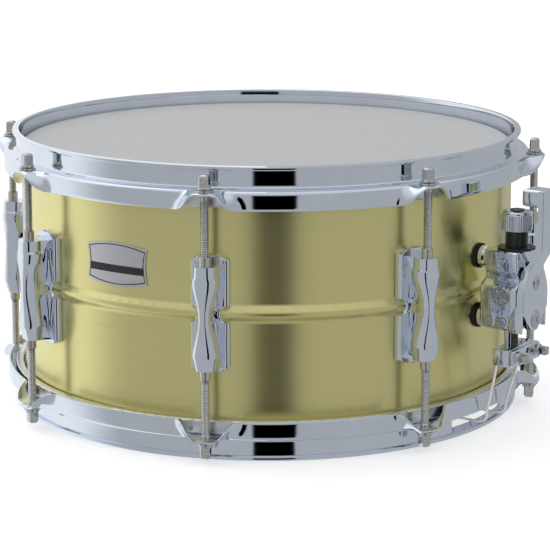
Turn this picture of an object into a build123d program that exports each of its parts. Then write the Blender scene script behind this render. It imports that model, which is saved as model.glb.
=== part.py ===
# A 13 x 6.5 inch brass snare drum.
# Millimetres. +Z is up, the drum's axis is the Z axis, and z = 0 is the flat rim that it rests on.
# The throw-off strainer is on +X, the butt plate on -X and the badge on -Y.
import os
from math import cos, radians, sin

from build123d import *

os.makedirs("parts", exist_ok=True)

# ---------------------------------------------------------------- driving dimensions
shell_diameter = 330.2          # outside
shell_depth = 165.1             # one bearing edge to the other
shell_wall = 1.2
lug_count = 8
bead_width = 13.0
bead_height = 3.4
edge_bend = 4.0                 # radius of the bearing edge
edge_lip = 5.0                  # length of the lip turned in behind it

film_thickness = 0.3
film_gap = 0.3                  # film to the shell's outside
hoop_gap = 0.5                  # film to the hoops, all round
flesh_hoop_width = 5.6
flesh_hoop_height = 9.1
collar_groove_height = 0.7
collar_groove_depth = 2.8
flesh_hoop_corner = 1.2

hoop_thickness = 2.3
rim_above_head = 9.15           # rim plane above the batter film
rim_width = 4.6                 # whole width of the turned rim
rim_thickness = 2.6
shelf_drop = 14.0               # rim plane down to the top of the shelf
apron_drop = 25.6               # rim plane down to the apron's free edge
apron_clearance = 2.6           # flesh hoop to the inside of the apron
shoulder_radius = 3.0
rim_round = 1.2
rim_root_round = 0.9
shelf_root_round = 1.2
band_end_round = 0.8
apron_root_round = 0.8
apron_edge_round = 0.6
ear_reach = 11.0                # ear beyond the apron
ear_width = 13.0
ear_flare = 15.0                # S-shaped flank of each ear
ear_root_lap = 4.8              # ear's root inside the apron's face
ear_tip_depth = 1.5             # round of its tip
ear_root_slope = 1.4            # flank's sideways run at the root
ear_tip_slope = 0.1             # and at the tip
notch_lip = 1.0                 # notch cut past the apron's free edge
gate_width = 64.0               # snare gates in the lower hoop
gate_gap = 0.4                  # above the rim
gate_corner = 4.0

rod_radius = 2.75
rod_length = 62.0               # under the head
rod_hole_clearance = 0.35
rod_outset = 4.0                # rod axis beyond the apron
rod_tip_chamfer = 0.8
washer_radius = 5.6
washer_thickness = 1.2
rod_flange_radius = 4.4
rod_flange_height = 1.8
rod_flange_chamfer = 0.7
drive_width = 6.4               # square that the drum key takes
drive_height = 7.4
drive_corner = 0.6
drive_chamfer = 0.5
running_gap = 0.1               # faces that turn on each other
thread_clearance = 0.05         # radial, rod in nut

lug_height = 75.0
lug_width = 24.5
lug_base = 4.2
lug_base_chamfer = 1.0
lug_arch = 4.0                  # rise of the arched ends
lug_column_height = 65.0
lug_column_depth = 13.6
lug_crown_width = 13.0          # column at its ends
lug_bulge_width = 17.0          # column at its two widest levels
lug_bulge_level = 23.5          # above and below the middle
lug_waist_width = 8.2
lug_notch_radius = 5.4          # side notch over the bead
lug_web = 6.4
lug_web_inset = 1.0             # web and fins inside the column and the plate
nut_radius = 3.5
nut_length = 26.0
nut_projection = 6.0
nut_clearance = 0.05
lug_screw_level = 22.0          # screws above and below the middle
lug_screw_radius = 2.0
lug_screw_head_radius = 4.2
lug_screw_head_height = 2.2
lug_screw_head_gap = 0.6        # head clear of the round wall
lug_screw_reach = 5.0           # screw beyond the shell
lug_screw_bore = 6.0            # and its hole
slot_width = 1.0                # drive slots of the screws inside the shell
slot_depth = 1.0
seat_gap = 0.05                 # pieces that sit on the round shell

body_top = 29.0                 # strainer body above the drum's middle
body_bottom = 22.2              # and below it
body_standoff = 11.0            # shell to the body's back
body_depth = 24.0
body_half_width = 14.0
body_relief = 3.6               # step of the back, upper part to lower
relief_gap = 1.0                # upper foot to the step
relief_ramp = 9.36              # height of the step
relief_round = 5.0
body_round = 2.0
body_chin_round = 3.0
body_edge_round = 1.5
valley_depth = 2.0              # hollow across each side of the body
valley_nose_inset = 6.0
valley_nose_rise = 1.0
valley_mouth_rise = 9.0
valley_mouth_fall = 2.0
valley_heel_inset = 7.0
valley_heel_fall = 1.0
valley_tail_fall = 4.0
valley_round = 3.0
pocket_rise = 21.0              # carriage's pocket above the drum's middle
pocket_fall = 4.0               # and below it
joint_lap = 1.0                 # run of one volume into the next, so that they unite
foot_radius = 7.0
gasket_radius = 8.0
gasket_thickness = 1.8
upper_foot_level = 21.4
lower_foot_level = 17.6
mount_screw_radius = 2.0
mount_head_radius = 4.0
mount_head_height = 2.4
mount_head_gap = 0.4            # head clear of the round wall
mount_screw_length = 10.0
mount_screw_bore = 11.0
butt_screw_bore = 10.0
medallion_radius = 6.3
medallion_thickness = 1.2
medallion_inset = 12.6          # body's back to its centre
engraved_ring_inset = 1.0
engraved_ring_width = 0.5
engraved_petal_count = 6
engraved_petal_circle = 2.4
engraved_petal_radius = 0.9
engraving_depth = 0.3
face_screw_radius = 3.3
face_screw_length = 6.0
face_screw_hex = 3.0
face_screw_proud = 0.4
face_screw_gap = 0.5            # screw's end to the bottom of its hole
face_screw_insets = (4.4, 13.6)
face_screw_level = 16.2         # below the drum's middle
hex_depth = 2.4

screw_radius = 2.3              # adjusting screw
screw_clearance = 0.05
screw_inset = 8.2               # body's front face back to the screw's axis
screw_end_rise = 1.0            # screw's end above the clamp's underside
screw_head_overhang = 2.4
screw_head_height = 1.0
screw_head_round = 0.7
collar_radius = 7.1
collar_bore_clearance = 0.4
collar_height = 13.2
collar_flange_radius = 12.0
collar_flange_height = 1.4
flange_lever_gap = 0.6
knob_radius = 10.0
knob_height = 12.5
knob_top = 3.0
knob_cup_clearance = 0.5
knob_overlap = 1.2              # knob's skirt over the collar at rest
knurl_count = 40
knurl_outset = 0.15
knurl_radius = 0.45
carriage_height = 9.0
carriage_half_width = 6.0
carriage_depth = 9.0
carriage_round = 1.0
slide_gap = 0.35

lever_thickness = 2.4
lever_gap = 4.0                 # body's front face to the lever plate
lever_half_width = 16.4
lever_arm_half_width = 8.0
lever_arm_outset = 8.0          # arm plane beyond the plate's
lever_top = 69.0                # above the drum's middle
lever_tab_depth = 16.0
lever_tab_height = 11.0
tab_root_rise = 2.0
tab_root_drop = 1.0
tab_nose = 3.0
tab_back_round = 2.0
tab_nose_round = 1.5
lever_foot_drop = 4.2           # below the pivot
lever_foot_half_width = 3.0
lever_foot_round = 0.8
lever_tip_round = 1.2
lever_taper_level = 9.0         # below the drum's middle
lever_shoulder_level = 2.0      # above it
neck_level = 18.0               # above it
neck_rise = 1.0                 # neck's top above the body
neck_blend = 3.0
neck_outer_round = 10.0
neck_inner_round = 8.0
lever_screw_seat = 0.8          # depth of the screws' seats in the plate
lever_screw_height = 1.6
lever_screw_gap = 0.1
lever_hex_depth = 1.2
upper_lever_screw_level = 8.5   # above the drum's middle
upper_lever_screw_radius = 3.9
lower_lever_screw_rise = 3.2    # above the pivot
lower_lever_screw_radius = 5.3
pivot_level = 18.5              # below the drum's middle
pivot_inset = 1.2               # pin axis behind the body's front face
pin_radius = 1.8
pin_clearance = 0.05
cheek_radius = 3.6
cheek_gap = 0.6
cheek_inset = 0.6               # behind the plate's two faces
cheek_level = 1.0               # above the drum's middle
cheek_heel_round = 3.4
cheek_foot_round = 2.0
cheek_round = 3.0

clamp_top = 33.4                # below the drum's middle
clamp_height = 11.0
clamp_depth = 12.0
clamp_half_width = 18.0
clamp_plate_thickness = 3.0
clamp_screw_offset = 13.0
clamp_screw_radius = 2.0
clamp_screw_depth = 6.0          # thread in the block
clamp_collar_radius = 4.1
clamp_collar_height = 3.0
clamp_square = 5.2
clamp_square_height = 5.0
clamp_screw_rise = 0.5          # above the middle of the block
clamp_round = 0.8
clamp_plate_overhang = 1.0
clamp_plate_trim = 0.5
clamp_plate_corner = 2.5
clamp_plate_chamfer = 0.6
slide_bar_depth = 3.2
slide_bar_half_width = 3.3
slide_bar_length = 38.0
slide_slot_spare = 2.0

butt_half_width = 16.0
butt_height = 22.0
butt_depth = 12.0
butt_level = 42.0               # below the drum's middle
butt_foot_offset = 9.5
butt_screw_inset = 0.8          # screw heads inward, clear of the round wall
butt_standoff = 3.0             # body beyond the gaskets
butt_foot_radius = 6.0
butt_gasket_radius = 7.0
butt_flare = 4.0
butt_corner = 2.0
butt_cord_inset = 4.0
butt_plate_height = 12.0

cord_radius = 0.85
cord_hole_radius = 1.3
cord_bend = 4.0
cord_inset = 2.2                # strand behind the clamp block's back face
cord_spread_top = 15.8          # half the spread of the strands at the clamp
cord_spread_bottom = 12.5       # and at the gate
cord_apron_gap = 2.0
cord_roof = 3.0                 # clamp block left over each cord's hole
cord_anchor_depth = 5.0
cord_entry_rise = 2.0           # strands reach the apron above the gate's top
cord_end_inset = 4.0

wire_count = 20
wire_radius = 0.75
wire_pitch = 2.1
wire_head_gap = 0.3
wire_length = 292.0
end_plate_length = 12.0
end_plate_thickness = 0.8
end_plate_overlap = 7.0
end_plate_corner = 2.0

badge_width = 47.0
badge_height = 28.0
badge_thickness = 0.7
badge_arch = 3.0                # rise of its top and bottom
badge_waist = 1.4               # pull of its sides
badge_level = 25.0              # badge centre above the middle

vent_radius = 4.5
vent_flange_radius = 8.0
vent_flange_height = 1.2
grommet_wall = 1.2
vent_reach = 3.6                # bore cut to each side of the wall

# ---------------------------------------------------------------- derived places
shell_radius = shell_diameter / 2
inner_radius = shell_radius - shell_wall
edge_level = rim_above_head + film_thickness          # rim plane to the bearing edge
middle = edge_level + shell_depth / 2
middle_plane = Plane.XY.offset(middle)
shell_bottom = middle - shell_depth / 2
shell_top = middle + shell_depth / 2
rim_top = 2 * middle

film_inner = shell_radius + film_gap
film_outer = film_inner + film_thickness
band_inner = film_outer + hoop_gap
band_outer = band_inner + hoop_thickness
rim_outer = band_inner + rim_width
flesh_outer = band_inner + flesh_hoop_width
apron_inner = flesh_outer + apron_clearance
apron_outer = apron_inner + hoop_thickness
ear_outer = apron_outer + ear_reach
rod_circle = apron_outer + rod_outset
shelf_top = rim_top - shelf_drop
shelf_bottom = shelf_top - hoop_thickness
collar_level = shelf_bottom - flesh_hoop_height / 2   # film's collar in its groove

lug_step = 360 / lug_count
lug_angles = [lug_step * (i + 0.5) for i in range(lug_count)]

body_back = shell_radius + body_standoff
body_front = body_back + body_depth
body_top_z = middle + body_top
body_bottom_z = middle - body_bottom
screw_x = body_front - screw_inset
collar_top_z = body_top_z + collar_height
knob_bottom_z = collar_top_z - knob_overlap
knob_top_z = knob_bottom_z + knob_height
clamp_top_z = middle - clamp_top
clamp_bottom_z = clamp_top_z - clamp_height
clamp_front = screw_x + clamp_depth / 2
clamp_back = clamp_front - clamp_depth
lever_inner = body_front + lever_gap
lever_outer = lever_inner + lever_thickness
pivot_x = body_front - pivot_inset
pivot_z = middle - pivot_level
slide_bar_x = clamp_back + slide_bar_depth / 2


def finish(piece, label):
    """Name a piece and write it."""
    piece.part.label = label
    export_step(piece.part, f"parts/{label}.step")


def turned(radius, height, base=0.0):
    """A loose cylinder about Z that stands on z = base."""
    return Pos(0, 0, base) * Cylinder(radius, height, align=(Align.CENTER, Align.CENTER, Align.MIN))


# ---------------------------------------------------------------- shell
half_bead = bead_width / 2
bead_lean = half_bead / 2


def shell_outline(radius, rise):
    """Half of the wall's meridian, from the bead's crest up to the bearing edge's crest."""
    crest = Spline(
        (radius + rise, middle),
        (radius + rise / 2, middle + bead_lean),
        (radius, middle + half_bead),
        tangents=[(0, 1), (0, 1)],
    )
    return crest


with BuildPart() as shell:
    with BuildSketch(Plane.XZ) as wall:
        with BuildLine():
            outer_bead = shell_outline(shell_radius, bead_height)
            outer_wall = Line(outer_bead @ 1, (shell_radius, shell_top - edge_bend))
            outer_edge = RadiusArc(outer_wall @ 1, (shell_radius - edge_bend, shell_top), -edge_bend)
            lip_end = (shell_radius - edge_bend - edge_lip, shell_top - edge_lip / 2)
            lip_outside = Line(outer_edge @ 1, lip_end)
            lip_tip = Line(lip_outside @ 1, (lip_end[0], lip_end[1] - shell_wall))
            inner_fold = (shell_radius - edge_bend, shell_top - shell_wall)
            lip_inside = Line(lip_tip @ 1, inner_fold)
            inner_edge = RadiusArc(
                inner_fold, (inner_radius, shell_top - edge_bend), edge_bend - shell_wall
            )
            inner_wall = Line(inner_edge @ 1, (inner_radius, middle + half_bead))
            inner_bead = shell_outline(inner_radius, bead_height)
            Line(inner_bead @ 0, outer_bead @ 0)
        make_face()
        mirror(about=Plane.XZ.offset(-middle))
    revolve(axis=Axis.Z)
    # holes for the lugs' screws
    for lug_angle in lug_angles:
        with Locations(*[
            Plane(
                origin=(0, 0, middle + side * lug_screw_level),
                z_dir=(cos(radians(lug_angle)), sin(radians(lug_angle)), 0),
            )
            for side in (-1, 1)
        ]):
            Cylinder(
                lug_screw_radius + 2 * seat_gap, shell_radius + bead_height,
                align=(Align.CENTER, Align.CENTER, Align.MIN), mode=Mode.SUBTRACT,
            )
    # holes for the strainer's two screws
    with BuildSketch(Plane.YZ):
        with Locations((0, middle + upper_foot_level), (0, middle - lower_foot_level)):
            Circle(mount_screw_radius + 2 * seat_gap)
    extrude(amount=shell_diameter, mode=Mode.SUBTRACT)
    # holes for the butt plate's two screws
    with BuildSketch(Plane.YZ):
        with Locations((-butt_foot_offset, middle - butt_level), (butt_foot_offset, middle - butt_level)):
            Circle(mount_screw_radius + 2 * seat_gap)
    extrude(amount=-shell_diameter, mode=Mode.SUBTRACT)
    # air vent, at the back
    with BuildSketch(Plane.XZ):
        with Locations((0, middle + badge_level)):
            Circle(vent_radius)
    extrude(amount=-shell_diameter, mode=Mode.SUBTRACT)
finish(shell, "shell")

# everything that sits on the round shell is cut back with this filled copy of it
with BuildPart() as shell_cutter:
    Cylinder(shell_radius + seat_gap, shell_depth)
    Cylinder(shell_radius + bead_height + 2 * seat_gap, bead_width + 4 * seat_gap)
shell_core = Pos(0, 0, middle) * shell_cutter.part

with BuildPart() as badge:
    add(turned(shell_radius + seat_gap + badge_thickness, rim_top))
    with BuildSketch(Plane.XZ):
        with BuildLine():
            half_w = badge_width / 2
            half_h = badge_height / 2
            corner = half_h - badge_arch
            badge_z = middle + badge_level
            top_arch = ThreePointArc(
                (-half_w, badge_z + corner), (0, badge_z + half_h), (half_w, badge_z + corner)
            )
            right_side = ThreePointArc(
                top_arch @ 1, (half_w - badge_waist, badge_z), (half_w, badge_z - corner)
            )
            bottom_arch = ThreePointArc(
                right_side @ 1, (0, badge_z - half_h), (-half_w, badge_z - corner)
            )
            ThreePointArc(bottom_arch @ 1, (-half_w + badge_waist, badge_z), top_arch @ 0)
        make_face()
    extrude(amount=shell_diameter, mode=Mode.INTERSECT)
    add(turned(shell_radius + seat_gap, rim_top), mode=Mode.SUBTRACT)
finish(badge, "badge")

with BuildPart() as vent_grommet:
    with BuildSketch(Plane.XZ.offset(-inner_radius + shell_wall)):
        with Locations((0, middle + badge_level)):
            Circle(vent_radius - seat_gap)
    extrude(amount=-2 * shell_wall - vent_flange_height)
    with BuildSketch(Plane.XZ.offset(-shell_radius - seat_gap)):
        with Locations((0, middle + badge_level)):
            Circle(vent_flange_radius)
    extrude(amount=-vent_flange_height)
    with BuildSketch(Plane.XZ.offset(-shell_radius + vent_reach)):
        with Locations((0, middle + badge_level)):
            Circle(vent_radius - grommet_wall)
    extrude(amount=-2 * vent_reach, mode=Mode.SUBTRACT)
finish(vent_grommet, "vent_grommet")

# ---------------------------------------------------------------- heads and their flesh hoops
with BuildPart() as batter_head:
    with BuildSketch(Plane.XZ):
        with BuildLine():
            film_top = shell_top + film_thickness
            bend = edge_bend + film_gap
            groove_reach = band_inner + collar_groove_depth - film_gap
            FilletPolyline(
                (0, shell_top), (film_inner, shell_top), (film_inner, collar_level),
                (groove_reach, collar_level), (groove_reach, collar_level + film_thickness),
                (film_outer, collar_level + film_thickness), (film_outer, film_top), (0, film_top),
                radius=[0, bend, 0, 0, 0, 0, bend + film_thickness, 0], close=True,
            )
        make_face()
    revolve(axis=Axis.Z)
finish(batter_head, "batter_head")

with BuildPart() as snare_side_head:
    mirror(batter_head.part, about=middle_plane)
finish(snare_side_head, "snare_side_head")

with BuildPart() as batter_flesh_hoop:
    with BuildSketch(Plane.XZ):
        with Locations(((band_inner + flesh_outer) / 2, collar_level)):
            RectangleRounded(flesh_hoop_width, flesh_hoop_height, flesh_hoop_corner)
        with Locations((band_inner, collar_level + film_thickness / 2)):
            Rectangle(2 * collar_groove_depth, collar_groove_height, mode=Mode.SUBTRACT)
    revolve(axis=Axis.Z)
finish(batter_flesh_hoop, "batter_flesh_hoop")

with BuildPart() as snare_side_flesh_hoop:
    mirror(batter_flesh_hoop.part, about=middle_plane)
finish(snare_side_flesh_hoop, "snare_side_flesh_hoop")

# ---------------------------------------------------------------- hoops
apron_bottom = rim_top - apron_drop
ear_half = ear_width / 2
notch_half = ear_half + ear_flare

# one ear with a flared root, on +X
with BuildPart() as ear:
    with BuildSketch(Plane.XY.offset(shelf_bottom)):
        with BuildLine():
            root = apron_outer - ear_root_lap
            tip = ear_outer - ear_tip_depth
            left_flank = Spline(
                (root, -notch_half), (tip, -ear_half),
                tangents=[(1, ear_root_slope), (1, ear_tip_slope)],
            )
            tip_arc = ThreePointArc(left_flank @ 1, (ear_outer, 0), (tip, ear_half))
            right_flank = Spline(
                tip_arc @ 1, (root, notch_half),
                tangents=[(-1, ear_tip_slope), (-1, ear_root_slope)],
            )
            Line(right_flank @ 1, left_flank @ 0)
        make_face()
    extrude(amount=hoop_thickness)

with BuildPart() as batter_hoop:
    with BuildSketch(Plane.XZ):
        with BuildLine():
            FilletPolyline(
                (band_inner, rim_top), (rim_outer, rim_top), (rim_outer, rim_top - rim_thickness),
                (band_outer, rim_top - rim_thickness), (band_outer, shelf_top),
                (apron_outer, shelf_top), (apron_outer, apron_bottom), (apron_inner, apron_bottom),
                (apron_inner, shelf_bottom), (band_inner, shelf_bottom),
                radius=[
                    band_end_round, rim_round, rim_round, rim_root_round, shelf_root_round,
                    shoulder_radius, apron_edge_round, apron_edge_round, apron_root_round, band_end_round,
                ],
                close=True,
            )
        make_face()
    revolve(axis=Axis.Z)
    # the apron is cut away at each rod, with S-shaped flanks
    for lug_angle in lug_angles:
        flank = radians(lug_angle)
        notch_plane = Plane(
            origin=(0, 0, shelf_bottom), z_dir=(cos(flank), sin(flank), 0),
            x_dir=(-sin(flank), cos(flank), 0),
        )
        with BuildSketch(notch_plane):
            with BuildLine():
                drop = apron_bottom - shelf_bottom - notch_lip
                left = Spline((-notch_half, drop), (-ear_half, 0), tangents=[(1, 0), (1, 0)])
                flat = Line(left @ 1, (ear_half, 0))
                right = Spline(flat @ 1, (notch_half, drop), tangents=[(1, 0), (1, 0)])
                Line(right @ 1, left @ 0)
            make_face()
        extrude(amount=ear_outer, mode=Mode.SUBTRACT)
    with PolarLocations(0, lug_count, start_angle=lug_step / 2):
        add(ear.part)
    with BuildSketch(Plane.XY.offset(shelf_bottom)):
        with PolarLocations(rod_circle, lug_count, start_angle=lug_step / 2):
            Circle(rod_radius + rod_hole_clearance)
    extrude(amount=hoop_thickness, mode=Mode.SUBTRACT)
finish(batter_hoop, "batter_hoop")

gate_bottom = rim_thickness + gate_gap
gate_top = shelf_drop
with BuildPart() as snare_side_hoop:
    mirror(batter_hoop.part, about=middle_plane)
    with BuildSketch(Plane.YZ.offset(-band_outer - hoop_gap)):
        with Locations((0, (gate_bottom + gate_top) / 2)):
            RectangleRounded(gate_width, gate_top - gate_bottom, gate_corner)
    extrude(amount=2 * (band_outer + hoop_gap), mode=Mode.SUBTRACT)
finish(snare_side_hoop, "snare_side_hoop")

# ---------------------------------------------------------------- lugs, all eight alike
column_back = rod_circle - lug_column_depth / 2
column_front = rod_circle + lug_column_depth / 2
base_front = shell_radius + lug_base
half_column = lug_column_height / 2
crown = lug_crown_width / 2
bulge = lug_bulge_width / 2
waist = lug_waist_width / 2
nut_top = half_column + nut_projection

with BuildPart() as lug:
    # arched base plate, notched over the bead
    with BuildSketch(Plane.YZ.offset(inner_radius - shell_wall)):
        with BuildLine():
            half_w = lug_width / 2
            side = lug_height / 2 - lug_arch
            top_arch = ThreePointArc(
                (-half_w, middle + side), (0, middle + lug_height / 2), (half_w, middle + side)
            )
            right_side = Line(top_arch @ 1, (half_w, middle - side))
            bottom_arch = ThreePointArc(
                right_side @ 1, (0, middle - lug_height / 2), (-half_w, middle - side)
            )
            Line(bottom_arch @ 1, top_arch @ 0)
        make_face()
        with Locations((-half_w, middle), (half_w, middle)):
            Circle(lug_notch_radius, mode=Mode.SUBTRACT)
    extrude(amount=base_front - inner_radius + shell_wall)
    chamfer(faces().sort_by(Axis.X)[-1].edges(), lug_base_chamfer)
    # hourglass column
    with BuildSketch(Plane.YZ.offset(column_back)):
        with BuildLine():
            right_outline = Spline(
                (crown, middle + half_column), (bulge, middle + lug_bulge_level),
                (waist, middle), (bulge, middle - lug_bulge_level), (crown, middle - half_column),
            )
            lower_end = Line(right_outline @ 1, (-crown, middle - half_column))
            left_outline = Spline(
                (-crown, middle - half_column), (-bulge, middle - lug_bulge_level),
                (-waist, middle), (-bulge, middle + lug_bulge_level), (-crown, middle + half_column),
            )
            Line(left_outline @ 1, right_outline @ 0)
        make_face()
    extrude(amount=lug_column_depth)
    # web and fins between plate and column
    with BuildSketch(Plane.XZ.offset(-lug_web / 2)):
        with BuildLine():
            Polyline(
                (shell_radius - shell_wall, middle + lug_height / 2 - lug_arch),
                (base_front, middle + lug_height / 2 - lug_arch),
                (rod_circle, middle + half_column - lug_web_inset),
                (rod_circle, middle - half_column + lug_web_inset),
                (base_front, middle - lug_height / 2 + lug_arch),
                (shell_radius - shell_wall, middle - lug_height / 2 + lug_arch), close=True,
            )
        make_face()
    extrude(amount=lug_web)
    with BuildSketch(Plane.XY.offset(middle - lug_waist_width / 2)):
        Polygon(
            (base_front - lug_web_inset, -half_w + lug_notch_radius), (rod_circle, -waist),
            (rod_circle, waist), (base_front - lug_web_inset, half_w - lug_notch_radius), align=None,
        )
    extrude(amount=lug_waist_width)
    # bores for the two swivel nuts, and the screws' threads in the base
    with BuildSketch(Plane.XY.offset(middle + nut_top - nut_length)):
        with Locations((rod_circle, 0)):
            Circle(nut_radius + nut_clearance)
    extrude(amount=nut_length, mode=Mode.SUBTRACT)
    with BuildSketch(Plane.XY.offset(middle - nut_top)):
        with Locations((rod_circle, 0)):
            Circle(nut_radius + nut_clearance)
    extrude(amount=nut_length, mode=Mode.SUBTRACT)
    with BuildSketch(Plane.YZ.offset(inner_radius - shell_wall)):
        with Locations((0, middle + lug_screw_level), (0, middle - lug_screw_level)):
            Circle(lug_screw_radius + seat_gap)
    extrude(amount=2 * shell_wall + lug_screw_bore, mode=Mode.SUBTRACT)
    add(shell_core, mode=Mode.SUBTRACT)

for number, lug_angle in enumerate(lug_angles, start=1):
    with BuildPart() as placed_lug:
        add(lug.part, rotation=(0, 0, lug_angle))
    finish(placed_lug, f"lug_{number}")

with BuildPart() as lug_nuts:
    with BuildSketch(Plane.XY.offset(middle + nut_top - nut_length)):
        with PolarLocations(rod_circle, lug_count, start_angle=lug_step / 2):
            Circle(nut_radius)
            Circle(rod_radius + thread_clearance, mode=Mode.SUBTRACT)
    extrude(amount=nut_length)
    mirror(about=middle_plane)
finish(lug_nuts, "lug_nuts")

with BuildPart() as lug_screw:
    with BuildSketch(Plane.YZ.offset(inner_radius - lug_screw_head_height - lug_screw_head_gap)):
        Circle(lug_screw_head_radius)
    extrude(amount=lug_screw_head_height)
    with BuildSketch(Plane.YZ.offset(inner_radius - lug_screw_head_height)):
        Circle(lug_screw_radius)
    extrude(amount=lug_screw_head_height + shell_wall + lug_screw_reach)
    with BuildSketch(Plane.YZ.offset(inner_radius - lug_screw_head_height - lug_screw_head_gap)):
        Rectangle(slot_width, 2 * lug_screw_head_radius)
    extrude(amount=slot_depth, mode=Mode.SUBTRACT)

with BuildPart() as lug_screws:
    for lug_angle in lug_angles:
        for side in (-1, 1):
            placed = Pos(0, 0, middle + side * lug_screw_level) * Rot(0, 0, lug_angle) * lug_screw.part
            add(placed)
finish(lug_screws, "lug_screws")

# ---------------------------------------------------------------- tension rods and washers
with BuildPart() as rod_washers:
    with BuildSketch(Plane.XY.offset(shelf_top)):
        with PolarLocations(rod_circle, lug_count, start_angle=lug_step / 2):
            Circle(washer_radius)
            Circle(rod_radius + rod_hole_clearance, mode=Mode.SUBTRACT)
    extrude(amount=washer_thickness)
    mirror(about=middle_plane)
finish(rod_washers, "rod_washers")

rod_seat = shelf_top + washer_thickness + running_gap
with BuildPart() as tension_rod:
    with BuildSketch(Plane.XY.offset(rod_seat - rod_length)):
        Circle(rod_radius)
    extrude(amount=rod_length)
    chamfer(edges().group_by(Axis.Z)[0], rod_tip_chamfer)
    with BuildSketch(Plane.XY.offset(rod_seat)):
        Circle(rod_flange_radius)
    extrude(amount=rod_flange_height)
    chamfer(edges().group_by(Axis.Z)[-1], rod_flange_chamfer)
    with BuildSketch(Plane.XY.offset(rod_seat + rod_flange_height)):
        RectangleRounded(drive_width, drive_width, drive_corner)
    extrude(amount=drive_height)
    chamfer(edges().group_by(Axis.Z)[-1], drive_chamfer)

for number, lug_angle in enumerate(lug_angles, start=1):
    rod_x = rod_circle * cos(radians(lug_angle))
    rod_y = rod_circle * sin(radians(lug_angle))
    with BuildPart() as batter_rod:
        with Locations(Location((rod_x, rod_y, 0), (0, 0, lug_angle))):
            add(tension_rod.part)
    finish(batter_rod, f"batter_rod_{number}")
    with BuildPart() as snare_side_rod:
        mirror(batter_rod.part, about=middle_plane)
    finish(snare_side_rod, f"snare_side_rod_{number}")

# ---------------------------------------------------------------- strainer: fixed pieces
relief_top = middle + upper_foot_level - foot_radius - relief_gap
relief_bottom = relief_top - relief_ramp
pocket_top = middle + pocket_rise
pocket_bottom = middle - pocket_fall
valley_back = body_back - 2 * body_relief
valley_front = body_front + joint_lap
medallion_x = body_back + medallion_inset
face_screw_places = [(body_back + inset, middle - face_screw_level) for inset in face_screw_insets]
upper_foot_z = middle + upper_foot_level
lower_foot_z = middle - lower_foot_level

with BuildPart() as strainer_body:
    with BuildSketch(Plane.XZ.offset(-body_half_width)):
        with BuildLine():
            FilletPolyline(
                (body_back, body_top_z), (body_front, body_top_z), (body_front, body_bottom_z),
                (body_back - body_relief, body_bottom_z), (body_back - body_relief, relief_bottom),
                (body_back, relief_top),
                radius=[body_round, body_round, body_chin_round, body_round, relief_round, relief_round],
                close=True,
            )
        make_face()
    extrude(amount=2 * body_half_width)
    # valley across each side, between the upper block and the lower one
    for side in (-1, 1):
        with BuildSketch(Plane.XZ.offset(side * body_half_width)):
            with BuildLine():
                FilletPolyline(
                    (valley_back, relief_top),
                    (body_front - valley_nose_inset, relief_top + valley_nose_rise),
                    (valley_front, relief_top + valley_mouth_rise),
                    (valley_front, relief_bottom + valley_mouth_fall),
                    (body_front - valley_heel_inset, relief_bottom + valley_heel_fall),
                    (valley_back, relief_bottom + valley_tail_fall),
                    radius=[0, valley_round, 0, 0, valley_round, 0], close=True,
                )
            make_face()
        extrude(amount=-side * valley_depth, mode=Mode.SUBTRACT)
    fillet(edges().filter_by(Axis.Z).group_by(Axis.X)[0], body_edge_round)
    # feet
    with BuildSketch(Plane.YZ.offset(shell_radius - shell_wall)):
        with Locations((0, upper_foot_z), (0, lower_foot_z)):
            Circle(foot_radius)
    extrude(amount=body_standoff + shell_wall + joint_lap)
    # pocket for the carriage, open to the front
    with BuildSketch(Plane.YZ.offset(screw_x - carriage_depth / 2 - slide_gap)):
        with Locations((0, (pocket_top + pocket_bottom) / 2)):
            Rectangle(2 * (carriage_half_width + slide_gap), pocket_top - pocket_bottom)
    extrude(amount=body_depth, mode=Mode.SUBTRACT)
    # vertical bore for the adjusting screw
    with BuildSketch(Plane.XY.offset(body_bottom_z)):
        with Locations((screw_x, 0)):
            Circle(screw_radius + collar_bore_clearance)
    extrude(amount=body_top_z - body_bottom_z, mode=Mode.SUBTRACT)
    # slot for the clamp's slide bar
    with BuildSketch(Plane.XY.offset(body_bottom_z)):
        with Locations((slide_bar_x, 0)):
            Rectangle(slide_bar_depth + 2 * slide_gap, 2 * (slide_bar_half_width + slide_gap))
    extrude(amount=slide_bar_length + slide_slot_spare, mode=Mode.SUBTRACT)
    # pivot pin's bore
    with BuildSketch(Plane.XZ.offset(-body_half_width)):
        with Locations((pivot_x, pivot_z)):
            Circle(pin_radius)
    extrude(amount=2 * body_half_width, mode=Mode.SUBTRACT)
    # seats for the medallion and the two hex screws, on the -Y side
    with BuildSketch(Plane.XZ.offset(body_half_width)):
        with Locations((medallion_x, middle)):
            Circle(medallion_radius + seat_gap)
    extrude(amount=-medallion_thickness / 2, mode=Mode.SUBTRACT)
    with BuildSketch(Plane.XZ.offset(body_half_width)):
        with Locations(*face_screw_places):
            Circle(face_screw_radius + seat_gap)
    extrude(amount=face_screw_gap - face_screw_length, mode=Mode.SUBTRACT)
    # tapped holes for the mount screws
    with BuildSketch(Plane.YZ.offset(shell_radius - shell_wall)):
        with Locations((0, upper_foot_z), (0, lower_foot_z)):
            Circle(mount_screw_radius + seat_gap)
    extrude(amount=mount_screw_bore, mode=Mode.SUBTRACT)
    add(turned(shell_radius + seat_gap + gasket_thickness, rim_top), mode=Mode.SUBTRACT)
finish(strainer_body, "strainer_body")

with BuildPart() as strainer_gaskets:
    add(turned(shell_radius + gasket_thickness, rim_top))
    with BuildSketch(Plane.YZ):
        with Locations((0, upper_foot_z), (0, lower_foot_z)):
            Circle(gasket_radius)
            Circle(mount_screw_radius + 2 * seat_gap, mode=Mode.SUBTRACT)
    extrude(amount=shell_diameter, mode=Mode.INTERSECT)
    add(shell_core, mode=Mode.SUBTRACT)
finish(strainer_gaskets, "strainer_gaskets")

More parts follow.
